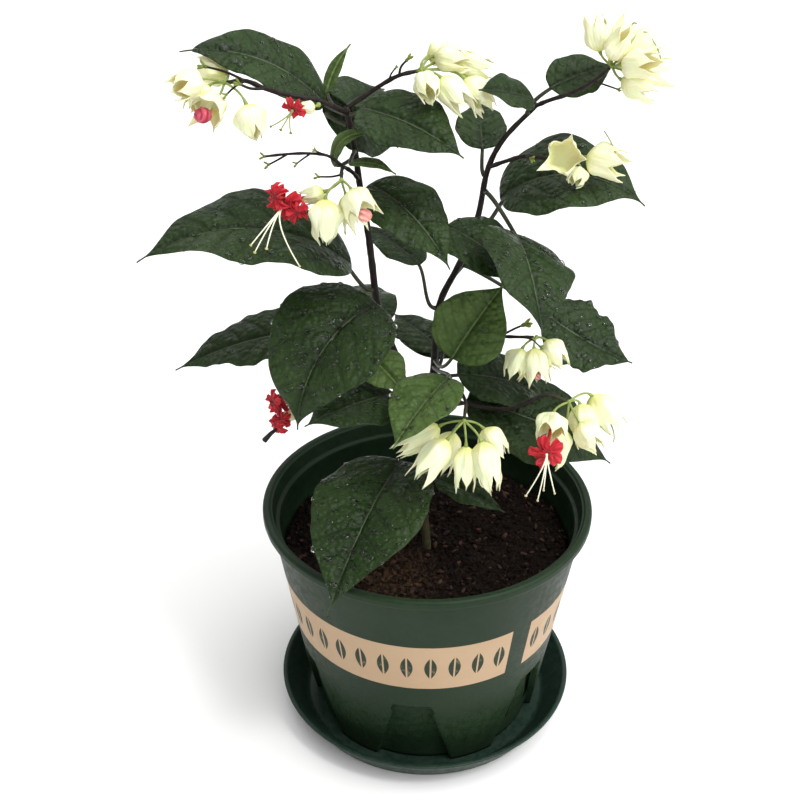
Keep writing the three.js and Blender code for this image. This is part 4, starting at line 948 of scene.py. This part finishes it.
def blade_part(leaf, number):
    """A blade as a closed sheet: the grid moved to both sides of itself and joined at the edge."""
    grid, uv = blade_grid(leaf)
    normal = np.cross(np.gradient(grid, axis=0), np.gradient(grid, axis=1))
    normal /= np.linalg.norm(normal, axis=-1, keepdims=True)
    rows, columns = grid.shape[:2]
    size = rows * columns
    edge = np.minimum(1, 0.35 + 2.2 * (1 - np.abs(np.linspace(-1, 1, columns))))[None, :, None]
    points = np.vstack([(grid + normal * LEAF_THICK / 2 * edge).reshape(-1, 3),
                        (grid - normal * LEAF_THICK / 2 * edge).reshape(-1, 3)])
    i, j = np.meshgrid(np.arange(rows - 1), np.arange(columns - 1), indexing="ij")
    a = i * columns + j
    top = np.stack([a, a + columns, a + columns + 1, a + 1], -1).reshape(-1, 4)
    border = ([r * columns for r in range(rows - 1)]
              + [(rows - 1) * columns + c for c in range(columns - 1)]
              + [r * columns + columns - 1 for r in range(rows - 1, 0, -1)]
              + list(range(columns - 1, 0, -1)))
    ring = [[p, p + size, q + size, q] for p, q in zip(border, border[1:] + border[:1])]
    faces = top.tolist() + (top[:, ::-1] + size).tolist() + ring
    mask = np.concatenate([np.ones(size), np.zeros(size)])
    return points, outward(points, faces), number, np.vstack([uv.reshape(-1, 2)] * 2), mask


def bend_path(count, *controls):
    """Points along the smooth bend that three or four control points draw."""
    s = np.linspace(0, 1, count)[:, None]
    if len(controls) == 3:
        a, b, c = controls
        return (1 - s) ** 2 * a + 2 * s * (1 - s) * b + s * s * c
    a, b, c, d = controls
    return (1 - s) ** 3 * a + 3 * s * (1 - s) ** 2 * b + 3 * s * s * (1 - s) * c + s ** 3 * d


PETIOLE_STEPS, RIB_STEPS = 15, 21


def petiole_path(leaf):
    """The petiole from its node to the blade and on under the midrib, with its radii."""
    station, direction, stem_radius = stem_station(leaf[1], leaf[2])
    foot, heading, pitch, length, _, droop, roll = leaf[3:]
    outside = np.array(foot, float) - station
    reach = np.linalg.norm(outside)
    outside -= direction * outside.dot(direction)
    outside /= np.linalg.norm(outside)
    start = station + outside * (stem_radius + GAP)
    tangent, _, normal = turned_frame(heading, pitch, roll)
    end = midrib_point(leaf, 0.07) - normal * 0.5
    stalk = bend_path(PETIOLE_STEPS, start, start + outside * reach * 0.25,
                      end - tangent * reach * 0.3, end)
    rib = []
    for t in np.linspace(0.07, 0.88, RIB_STEPS + 1)[1:]:
        _, _, up = turned_frame(heading, pitch - droop * t, roll)
        rib.append(midrib_point(leaf, t) - up * (0.55 + 0.25 * (1 - t)))
    slim = min(1.0, length / 70)
    radii = np.concatenate([np.linspace(1.2, 0.95, PETIOLE_STEPS),
                            np.linspace(0.95, 0.3, RIB_STEPS)]) * PETIOLE_RADIUS
    radii[:PETIOLE_STEPS] *= 0.75 + 0.25 * slim
    radii[PETIOLE_STEPS:] *= slim
    radii[0] *= 1.25
    return np.vstack([stalk, rib]), radii


def vein_map(tree):
    """The pair of numbers that each point of a piece carries."""
    return add_node(tree, "ShaderNodeUVMap", {"uv_map": "veins"}).outputs[0]


def leaf_material(name, dark, light, vein, under, roughness, rib):
    """Leaf skin: mottled green with sunken pale veins and blisters in between; painted shade beside the veins
    and along the midrib, and a painted highlight on each blister.
    """
    material, tree, shader = new_material(name, roughness, Specular_IOR_Level=0.17)
    parts = add_node(tree, "ShaderNodeSeparateXYZ", Vector=vein_map(tree))
    upper = mask_of(tree)
    beside = math_node(tree, "ABSOLUTE", math_node(
        tree, "SUBTRACT", math_node(tree, "FRACT", parts.outputs[0]), 0.5))
    lateral = math_node(tree, "ABSOLUTE", parts.outputs[1])
    side_vein = span(tree, beside, 0.006, 0.026, 1.0, 0.0)
    midrib = span(tree, lateral, 0.03, 0.08, 1.0, 0.0)
    # Painted shade: a mask for the grooves beside the side veins and along the sunken midrib.
    hollow = math_node(tree, "MAXIMUM", span(tree, beside, 0.02, 0.17, 0.5, 0.0),
                       span(tree, lateral, 0.06, 0.4, 1.0, 0.0))
    place = add_node(tree, "ShaderNodeTexCoord").outputs["Object"]
    cells = add_node(tree, "ShaderNodeTexVoronoi", {"feature": "SMOOTH_F1"}, Vector=place,
                     Scale=330.0, Smoothness=0.6)
    blister = span(tree, cells.outputs["Distance"], 0.1, 0.75, 1.0, 0.0)
    tint = place_mottle(tree, dark, light, 38.0, 2.4)
    # Painted highlight: the raised middle of each blister is mixed towards the light colour.
    raised = mix_colour(tree, times(tree, blister, 0.45), tint.outputs[0], light)
    patched = mix_colour(tree, times(tree, speckle(tree, 16.0, 3.0), 0.22), raised, vein)
    # The painted groove shade: half the dark colour, mixed in by half that mask.
    deep = [c * 0.5 for c in dark[:3]] + [1.0]
    shaded = mix_colour(tree, times(tree, hollow, 0.5), patched, deep)
    veined = mix_colour(tree, times(tree, side_vein, 0.3), shaded, vein)
    ribbed = mix_colour(tree, times(tree, midrib, rib), veined, vein)
    both = mix_colour(tree, upper, mix_colour(tree, midrib, under, vein), ribbed)
    paint(tree, shader, both, span(tree, speckle(tree, 110.0, 3.0), 0, 1, roughness - 0.1, roughness + 0.2))
    relief = math_node(tree, "MULTIPLY_ADD", speckle(tree, 1100.0, 1.6), 0.18, blister)
    place_bump(tree, shader, math_node(tree, "MULTIPLY_ADD", side_vein, -0.6, relief), 0.8, 0.0009)
    return material


dark_leaf = leaf_material("dark_leaf", srgb(7, 21, 5), srgb(33, 54, 18), srgb(80, 102, 58),
                          srgb(62, 84, 54), 0.34, 0.22)
fresh_leaf = leaf_material("fresh_leaf", srgb(30, 54, 16), srgb(78, 102, 50), srgb(128, 150, 86),
                           srgb(96, 122, 68), 0.34, 0.45)
petiole_skin, petiole_tree, petiole_shader = new_material("petiole", 0.5)
petiole_tint = place_mottle(petiole_tree, srgb(34, 34, 24), srgb(62, 66, 40), 300.0, 2.0)
paint(petiole_tree, petiole_shader, mix_colour(
    petiole_tree, span(petiole_tree, mask_of(petiole_tree), 0.3, 0.8), petiole_tint.outputs[0],
    srgb(84, 100, 62)))
place_bump(petiole_tree, petiole_shader, petiole_tint.outputs[1], 0.5, 0.0002)

leaf_pieces = {}
for leaf in LEAVES:
    leaf_name = leaf[0]
    parts = [blade_part(leaf, 0), sweep_paths([petiole_path(leaf)], 8, 1)]
    skins = [fresh_leaf if leaf_name in FRESH_SKINS else dark_leaf, petiole_skin]
    leaf_pieces[leaf_name] = make_piece("blade_" + leaf_name, parts, skins,
                                        ["leaf_" + leaf_name])

# ---------------------------------------------------------------- the water drops
# Drops left by watering, standing on the wetter leaves as flat clear domes of all sizes.
water, water_tree, water_shader = new_material(
    "water", 0.04, IOR=1.33, Transmission_Weight=1.0, Base_Color=(1, 1, 1, 1))
place_bump(water_tree, water_shader, speckle(water_tree, 700.0, 1.0), 0.05, 0.0001)
# How many drops each wet leaf has to a square metre of its upper side.
WET_LEAVES = {"big_left": 80000.0, "rim": 55000.0, "light": 22000.0, "light_low": 26000.0,
              "right_bend": 42000.0, "right_droop": 42000.0, "top_left": 30000.0, "upper_mid": 20000.0,
              "left_large": 12000.0, "right_large": 14000.0, "right_arm": 14000.0, "low_left": 20000.0}
for wet_number, (wet_name, density) in enumerate(WET_LEAVES.items()):
    strew_piece("drops_" + wet_name, leaf_pieces[wet_name], {
        "Density": density, "Smallest": 0.0004, "Largest": 0.0027, "Shape": (1.0, 0.75, 0.36),
        "Level": 0.25, "Upright": True, "Rings": 5, "Seed": 20 + wet_number, "Material": water})

# ---------------------------------------------------------------- the flower clusters
# Cymes of papery lantern calyces, cream with a green foot, each of five keeled sepals joined for
# two thirds of their length and pointed at the tip.  They hang on thin green pedicels from a knob
# at the end of the peduncle.
PEDICEL_RADIUS, CALYX_THICK = 0.7, 0.5
SEPALS = 5
SEPAL_TURN = 2 * math.pi / SEPALS
CALYX_BELLY, CALYX_KEEL, CALYX_VALLEY, NOTCH_SHARE, THROAT_SHARE = 0.36, 1.04, 0.86, 0.64, 0.62
# The calyces of each cyme: foot, heading, pitch, length, radius and how far the mouth is open.
CYMES = {
    "cyme_a": [
        ((-115, -13, 413), -133, -5, 17, 8, 0.2),
        ((-112, -7, 408), -130, -40, 16, 8, 0.2),
        ((-107, -12, 404), -119, -22, 15, 8, 1),
        ((-92, -23, 403.5), -54, -58, 17, 9, 0),
        ((-104, 1, 412), 150, 3, 16, 8, 0.3),
    ],
    "cyme_b": [((-58.5, -17.5, 401), -168, -5, 8, 3.5, 0.3)],
    "cyme_c": [
        ((-5, -7, 414), -76, -28, 17, 7, 0.2),
        ((1, 7, 419), -18, -4, 18, 7.5, 0.2),
        ((4, -6, 412), -34, -42, 20, 7.5, 0.4),
        ((13, 14, 415), 12, -20, 18, 7, 0.2),
        ((16, -1, 410), -36, -38, 18, 7, 0.6),
        ((20, 10, 405), -10, -56, 17, 7, 0.4),
        ((-2, 14, 417), 32, 6, 15, 6.5, 0.2),
    ],
    "cyme_d": [
        ((88, -3, 420), -20, 64, 18, 7, 0.3),
        ((91, 6, 421), 50, 42, 19, 7.5, 0.3),
        ((94, 1, 420), 20, 27, 21, 7.5, 0.5),
        ((94, -6, 418), -42, 12, 20, 7.5, 0.3),
        ((96, 0, 414), 6, -4, 24, 8, 0.5),
        ((94, -6, 411), -22, -16, 19, 7.5, 0.3),
        ((84, 4, 422), 124, 68, 18, 7, 0.4),
        ((96, 8, 415), 48, 4, 20, 7.5, 0.4),
    ],
    "cyme_e": [
        ((70, -6, 371), -110, 18, 15, 8, 1),
        ((77, -7, 365), -119, -40, 10, 6, 0.1),
        ((80, -4, 370), -24, -6, 21, 9, 0.5),
    ],
    "cyme_f": [
        ((-54, -32, 358), -96, -79, 22, 9, 0),
        ((-44, -26, 358), 10, -70, 20, 6.5, 0.7),
        ((-41, -33, 363.5), -50, -45, 16, 8, 0.8),
        ((-55, -22, 358), 172, -20, 13, 5, 0.3),
    ],
    "cyme_g": [
        ((64, -16, 269), -42, -43, 17, 7.5, 0.3),
        ((57, -21, 267), -70, -66, 19, 7.5, 0.7),
        ((51, -18, 265), -130, -60, 17, 7.5, 0.3),
    ],
    "cyme_h": [
        ((5, -46, 232), -172, -32, 27, 7.5, 0.3),
        ((9, -58, 231), -150, -48, 27, 8, 0.4),
        ((13, -44, 227), -160, -70, 25, 7, 0.4),
        ((19, -60, 228), -95, -76, 24, 7, 0.3),
        ((27, -60, 231), -56, -64, 27, 8.5, 0.1),
        ((29, -47, 231), -30, -48, 18, 8, 0.2),
    ],
    "cyme_i": [
        ((67, -44, 239), -105, -36, 14, 9, 0.5),
        ((74, -41, 227), -140, -66, 22, 8, 0.2),
        ((83, -32, 238), -57, -64, 23, 8.5, 0.3),
        ((90, -27, 240), -10, -52, 24, 8.5, 0.3),
        ((82, -42, 232), -50, -36, 18, 8, 0.3),
    ],
    "cyme_j": [
        ((-75, -4, 226), -160, 9, 11, 4, 0.3),
        ((-76, -4, 217), -150, -20, 11, 4, 0.3),
    ],
}


def calyx_part(calyx, number, columns=50, rows=16):
    """One calyx as a thin closed shell, open at the mouth between its five pointed tips."""
    foot, heading, pitch, length, radius, opened = calyx
    tangent, side, normal = turned_frame(heading, pitch, 0)
    angles = np.arange(columns) * 2 * math.pi / columns
    local = np.abs(((angles / SEPAL_TURN + 0.5) % 1 - 0.5) * 2)
    end = NOTCH_SHARE + (1 - NOTCH_SHARE) * (1 - local) ** (0.45 + 1.3 * opened)
    end = end + 0.07 * (local < 0.1)
    lobe = np.floor(angles / SEPAL_TURN + 0.5)
    twist = foot[0] * 0.7 + foot[2] * 0.31
    rings, pairs, masks = [], [], []
    shares = np.concatenate([np.linspace(0.03, 1, rows), np.linspace(1, 0.3, rows // 2)])
    inside = np.arange(len(shares)) >= rows
    for share, inner in zip(shares, inside):
        t = share * end
        low, high = np.clip(t / CALYX_BELLY, 0, 1), np.clip((t - CALYX_BELLY) / (1 - CALYX_BELLY), 0, 1)
        rise = np.sin(math.pi / 2 * low ** 0.85) ** 0.8
        tip = 0.3 + 1.0 * opened
        keel = CALYX_KEEL * (1 - high) + tip * high + 0.07 * np.sin(math.pi * high)
        notch = np.clip((t - CALYX_BELLY) / (NOTCH_SHARE - CALYX_BELLY), 0, 1)
        valley = CALYX_VALLEY * (1 - notch) + (0.76 + 0.2 * opened) * notch
        fold = (1 - local) ** 1.3
        wide = rise * (valley + (keel - valley) * fold)
        wide = wide + 0.1 * opened * np.clip((t - 0.8) / 0.2, 0, 1) ** 2
        crumple = (1 + 0.045 * np.sin(3 * angles + 9 * t + twist)
                   + 0.028 * np.sin(11 * angles - 6 * t + 2.3 * twist)
                   + 0.3 * np.sin(2.4 * lobe + twist) * np.clip((t - 0.62) / 0.38, 0, 1) ** 2)
        r = np.maximum(wide * crumple * radius - inner * CALYX_THICK, 0.3)
        drift = 0.035 * length * np.sin(2 * angles + twist) * np.clip((t - 0.5) * 2, 0, 1)
        rings.append(np.array(foot, float) + np.outer(t * length + drift - inner * 0.1, tangent)
                     + np.outer(r * np.cos(angles), side) + np.outer(r * np.sin(angles), normal))
        pairs.append(np.stack([angles / (2 * math.pi) * SEPALS, t], -1))
        masks.append(np.full(columns, float(inner)))
    middle = rings[-1].mean(axis=0)
    points, faces = skin(rings, np.array(foot, float) - tangent * 0.2, middle)
    pairs = np.vstack(pairs + [[[0, 0], [0, 0.3]]])
    return points, outward(points, faces), number, pairs, np.concatenate(masks + [[0, 1]])


calyx_paper, calyx_tree, calyx_shader = new_material(
    "calyx_paper", 0.55, Subsurface_Weight=0.25, Subsurface_Scale=0.003)
calyx_uv = add_node(calyx_tree, "ShaderNodeSeparateXYZ", Vector=vein_map(calyx_tree))
calyx_tint = place_mottle(calyx_tree, srgb(238, 236, 186), srgb(248, 246, 216), 160.0, 2.0)
calyx_line = add_node(calyx_tree, "ShaderNodeTexWave", {"wave_type": "BANDS", "bands_direction": "X"},
                      Vector=vein_map(calyx_tree), Scale=1.6, Distortion=1.5, Detail=2.0,
                      Detail_Scale=1.5)
keel_line = math_node(calyx_tree, "ABSOLUTE", math_node(calyx_tree, "SUBTRACT", math_node(
    calyx_tree, "FRACT", math_node(calyx_tree, "ADD", calyx_uv.outputs[0], 0.5)), 0.5))
green_foot = span(calyx_tree, calyx_uv.outputs[1], 0.0, 0.26, 0.8, 0.0)
green_keel = times(calyx_tree, span(calyx_tree, keel_line, 0.0, 0.06, 0.28, 0.0),
                   span(calyx_tree, calyx_uv.outputs[1], 0.2, 0.9, 1.0, 0.3))
calyx_base = mix_colour(calyx_tree, math_node(calyx_tree, "MAXIMUM", green_foot, green_keel),
                        calyx_tint.outputs[0], srgb(222, 226, 120))
calyx_lined = mix_colour(calyx_tree, times(calyx_tree, calyx_line.outputs["Fac"], 0.2), calyx_base,
                         srgb(236, 230, 168))
# Painted shade: the inside of each calyx is mixed towards a dull yellow-green, most strongly deep in the cup
# near its foot.
calyx_inner_shade = times(calyx_tree, mask_of(calyx_tree),
                    span(calyx_tree, calyx_uv.outputs[1], 0.3, 0.85, 0.7, 0.05))
paint(calyx_tree, calyx_shader, mix_colour(calyx_tree, calyx_inner_shade, calyx_lined, srgb(222, 222, 158)))
place_bump(calyx_tree, calyx_shader, calyx_line.outputs["Fac"], 0.35, 0.0003)


def plain_skin(name, roughness, dark, light, scale, contrast, strength, depth):
    """A material in two mottled colours with a fine relief to match."""
    material, tree, shader = new_material(name, roughness)
    tint = place_mottle(tree, dark, light, scale, contrast)
    paint(tree, shader, tint.outputs[0])
    place_bump(tree, shader, tint.outputs[1], strength, depth)
    return material


pedicel_skin = plain_skin("pedicel", 0.5, srgb(112, 132, 62), srgb(158, 172, 92), 300.0, 2.0, 0.3, 0.0002)

# Withered styles that stand out of some calyces: the calyx's place in its cyme, and the tip.
OLD_STYLES = {"cyme_d": [(1, (101, 4, 436)), (2, (104.5, 2, 432.5)), (4, (108.5, 0, 429.5))],
              "cyme_e": [(2, (88, -4, 384))], "cyme_i": [(3, (102, -40, 218))]}
for cyme_name, calyces in CYMES.items():
    hub = next(np.array(points[-1], float) for points, _, carries in TWIGS if carries == cyme_name)
    parts = [calyx_part(calyx, 0) for calyx in calyces]
    stalks = []
    for foot, heading, pitch, *_ in calyces:
        tangent = turned_frame(heading, pitch, 0)[0]
        foot = np.array(foot, float)
        stalk = bend_path(11, hub, foot - tangent * np.linalg.norm(foot - hub) * 0.35,
                          foot + tangent * 0.4)
        radii = PEDICEL_RADIUS * np.interp(np.linspace(0, 1, 11), [0, 0.7, 1], [1.0, 0.85, 1.7])
        stalks.append((stalk, radii))
    parts += [sweep_paths(stalks, 8, 1), knob(hub, HUB_RADIUS, 1)]
    for index, tip in OLD_STYLES.get(cyme_name, []):
        foot, heading, pitch, length, *_ = calyces[index]
        tangent = turned_frame(heading, pitch, 0)[0]
        start = np.array(foot, float) + tangent * length * 0.3
        style = bend_path(13, start, start + tangent * length * 0.8, np.array(tip, float))
        parts.append(sweep_paths([(style, np.linspace(0.5, 0.35, 13))], 6, 1))
    make_piece("cluster_" + cyme_name[5:], parts, [calyx_paper, pedicel_skin], [cyme_name])

# ---------------------------------------------------------------- the corollas
# Crimson flowers: a slim tube out of the calyx that opens to a velvety star of five rounded,
# crumpled lobes.  Some crowd together, and one has its withered tube under it.
PETAL_THICK, PETAL_REFLEX, TUBE_RADIUS = 0.6, 0.2, 0.9
# The cyme and calyx each grows from, centre of its star, heading and pitch of its face, radius.
COROLLAS = {
    "corolla_b": ("cyme_b", 0, (-69, -22, 401), (-115, -25), 6.5),
    "corolla_f": ("cyme_f", 3, (-75, -30, 353.5), (-115, -10), 10.5),
    "corolla_i": ("cyme_i", 0, (62, -64, 226), (-95, 5), 10),
    "corolla_j_upper": ("cyme_j", 0, (-89.5, -8.5, 225), (-140, 10), 7.5),
    "corolla_j_lower": ("cyme_j", 1, (-87, -17, 214.5), (-125, 0), 6.5),
}
# More stars crowded against the first of some: centre, heading and pitch of the face, radius.
CROWDS = {
    "corolla_f": [((-79.5, -31, 358.5), (-140, 12), 7.5), ((-68.5, -32, 350.5), (-72, -18), 6.5)],
    "corolla_i": [((63, -65, 227), (-80, 12), 5.5)],
    "corolla_j_upper": [((-85.5, -9.5, 224), (-105, 5), 6.2)],
    "corolla_j_lower": [((-84, -17.5, 218.5), (-95, 15), 6.0)],
}
OLD_TUBE = ((-87, -16.5, 212), (-91, -15.5, 208), (-95, -15, 203))  # hangs under corolla_j_lower


def throat_spot(calyx, radius, fit):
    """Where something of that radius just fits the hollow in a calyx's mouth, and which way it
    points.  A ball fits by the sine of the hollow's angle, the end of a tube by its tangent."""
    foot, heading, pitch, length, calyx_radius, opened = calyx
    tangent = turned_frame(heading, pitch, 0)[0]
    angle = math.atan((0.58 + 0.7 * opened) * calyx_radius / (length * (1 - THROAT_SHARE)))
    return np.array(foot, float) + tangent * (length * THROAT_SHARE + radius / fit(angle)), tangent


STAR_LOBES, STAR_POINTS, STAR_RINGS = 5, 110, 10


def star_part(centre, face, radius, number, crumple=1.0):
    """The star of a corolla: a thin sheet of five crumpled lobes round a small dark eye."""
    tangent, side, normal = turned_frame(*face, 0)
    angles = np.arange(STAR_POINTS) * 2 * math.pi / STAR_POINTS
    lobe = np.abs(np.sin(angles * STAR_LOBES / 2)) ** 0.45
    reach = radius * (0.36 + 0.64 * lobe)
    rings, masks = [], []
    shares = np.linspace(0.12, 1, STAR_RINGS)
    for sheet in (1, -1):
        for share in shares[::sheet]:
            r = share * reach
            part = r / radius
            ruffle = (0.12 * np.sin(angles * 10 + 1.3 + centre[0]) + 0.09 * np.sin(angles * 17 + share * 7)
                      + 0.12 * np.sin(angles * 5 + centre[2])) * crumple * radius * part ** 1.5
            cup = 0.1 * radius * (1 - lobe) * part
            depth = -PETAL_REFLEX * part ** 2 * radius + ruffle + cup + sheet * PETAL_THICK / 2
            rings.append(np.array(centre, float) + np.outer(depth, tangent)
                         + np.outer(r * np.cos(angles), side) + np.outer(r * np.sin(angles), normal))
            masks.append(part)
    poles = [np.array(centre, float) + tangent * sign * PETAL_THICK / 2 for sign in (0.2, -1)]
    points, faces = skin(rings, *poles)
    turns = angles / (2 * math.pi) * STAR_LOBES
    pairs = np.vstack([np.stack([turns, m], -1) for m in masks] + [[[0, 0], [0, 0]]])
    return points, outward(points, faces), number, pairs, np.concatenate(masks + [[0, 0]])


petal, petal_tree, petal_shader = new_material("petal", 0.6, Sheen_Weight=0.1, Subsurface_Weight=0.1,
                                               Subsurface_Scale=0.002)
petal_tint = place_mottle(petal_tree, srgb(156, 4, 22), srgb(218, 14, 40), 330.0, 2.2)
petal_line = add_node(petal_tree, "ShaderNodeTexWave", {"wave_type": "BANDS", "bands_direction": "X"},
                      Vector=vein_map(petal_tree), Scale=2.2, Distortion=1.0, Detail=2.0)
petal_eye = span(petal_tree, mask_of(petal_tree), 0.0, 0.5, 0.8, 0.0)
paint(petal_tree, petal_shader, mix_colour(petal_tree, petal_eye, petal_tint.outputs[0], srgb(112, 6, 26)))
place_bump(petal_tree, petal_shader, petal_line.outputs["Fac"], 0.5, 0.0003)
for corolla_name, (cyme_name, index, centre, face, radius) in COROLLAS.items():
    calyx = CYMES[cyme_name][index]
    calyx_length = calyx[3]
    start, tangent = throat_spot(calyx, TUBE_RADIUS + 2 * GAP, math.tan)
    star = np.array(centre, float)
    reach = np.linalg.norm(star - start)
    path = bend_path(17, start, start + tangent * max(reach * 0.4, calyx_length * 0.4),
                     star - turned_frame(*face, 0)[0] * reach * 0.35, star)
    tube = sweep_paths([(path, TUBE_RADIUS * np.linspace(1, 1.35, 17))], 10, 0, [(0.6, 0.3)])
    stars = [star_part(centre, face, radius, 0)]
    stars += [star_part(*more, 0, 1.7) for more in CROWDS.get(corolla_name, [])]
    if corolla_name == "corolla_j_lower":
        old_tube = np.array(OLD_TUBE, float), np.array([1.0, 1.3, 1.7])
        stars.append(sweep_paths([old_tube], 9, 1, [(0, 0.3)]))
    make_piece("flower_" + corolla_name[8:], stars + [tube], [petal, bark], [corolla_name])

# ---------------------------------------------------------------- the buds
# Corollas that are still rolled up, showing as round crimson or pink buds in the calyx's mouth.
BUDS = {"bud_a": ("cyme_a", 2, 4.6), "bud_f": ("cyme_f", 2, 4.0), "bud_g": ("cyme_g", 1, 2.6)}


def bud_material(name, deep, pale):
    """Rolled petals: pale where they bulge and deep red along the edges that overlap."""
    material, tree, shader = new_material(name, 0.5, Subsurface_Weight=0.1, Subsurface_Scale=0.002)
    tint = place_mottle(tree, deep, pale, 300.0, 2.4)
    overlap = span(tree, mask_of(tree), 0.05, 0.6, 0.85, 0.0)
    paint(tree, shader, mix_colour(tree, overlap, tint.outputs[0], deep))
    place_bump(tree, shader, tint.outputs[1], 0.5, 0.0004)
    return material


crimson_bud = bud_material("crimson_bud", srgb(132, 6, 32), srgb(232, 96, 122))
pink_bud = bud_material("pink_bud", srgb(214, 120, 116), srgb(250, 206, 190))
for bud_name, (cyme_name, index, radius) in BUDS.items():
    centre, tangent = throat_spot(CYMES[cyme_name][index], radius + GAP, math.sin)
    side = np.cross(tangent, (0.2, 0.3, 0.9))
    side /= np.linalg.norm(side)
    other = np.cross(tangent, side)
    angles = np.arange(70) * 2 * math.pi / 70
    rings, masks = [], []
    for a in np.linspace(0, math.pi, 26)[1:-1]:
        wrap = (angles * 5 / (2 * math.pi) + a * 0.8) % 1
        fall = np.minimum(1, (1 - wrap) * 7)
        r = radius * math.sin(a) * (0.74 + 0.26 * wrap ** 0.5 * fall + 0.05 * np.sin(3 * a + 7 * angles))
        rings.append(centre - tangent * math.cos(a) * radius * 0.9
                     + np.outer(1.1 * r * np.cos(angles), side) + np.outer(0.9 * r * np.sin(angles), other))
        masks.append(wrap * fall)
    points, faces = skin(rings, centre - tangent * radius * 0.9, centre + tangent * radius * 0.9)
    bud = (points, outward(points, faces), 0, np.zeros((len(points), 2)),
           np.concatenate(masks + [[0.5, 0.5]]))
    make_piece("rolled_" + bud_name[4:], [bud], [crimson_bud if bud_name == "bud_a" else pink_bud],
               [bud_name])

# ---------------------------------------------------------------- the stamens
# Long curved filaments, white to pale green, that arch out of three of the open stars together
# with the style and end in small buff anthers.  Those of corolla_b are green with dark anthers.
FILAMENT_RADIUS, ROOT_RADIUS, ANTHER_RADIUS = 0.45, 0.8, 0.62
STAMENS = {
    "stamens_b": ("corolla_b", [(-75, -30, 393), (-70, -32, 392), (-80, -28, 394)]),
    "stamens_f": ("corolla_f", [(-91, -49, 340), (-89, -51, 337), (-83, -51, 339), (-67, -50, 329)]),
    "stamens_i": ("corolla_i", [(51, -75, 206), (60, -77, 211), (66, -77, 209), (57, -78, 205)]),
}
thread = plain_skin("filament", 0.5, srgb(228, 230, 190), srgb(252, 250, 232), 500.0, 1.6, 0.3, 0.0001)
anther_skin = plain_skin("anther", 0.7, srgb(150, 138, 88), srgb(222, 214, 160), 900.0, 2.0, 0.5, 0.0002)
for stamens_name, (corolla_name, tips) in STAMENS.items():
    _, _, centre, face, _ = COROLLAS[corolla_name]
    tangent = turned_frame(*face, 0)[0]
    root = np.array(centre, float) + tangent * (0.4 + GAP + ROOT_RADIUS)
    threads, parts = [], []
    for tip in tips:
        tip = np.array(tip, float)
        path = bend_path(21, root, root + tangent * np.linalg.norm(tip - root) * 0.4, tip)
        threads.append((path, FILAMENT_RADIUS * np.linspace(1.0, 0.7, 21)))
        across = np.cross(path[-1] - path[-2], (0.4, 0.2, 1))
        parts.append(knob(path[-1], ANTHER_RADIUS, 1, across, 1.5))
    parts = [sweep_paths(threads, 7, 0), knob(root, ROOT_RADIUS, 0)] + parts
    skins = [pedicel_skin, bark] if stamens_name == "stamens_b" else [thread, anther_skin]
    make_piece("threads_" + stamens_name[8:], parts, skins, [stamens_name])
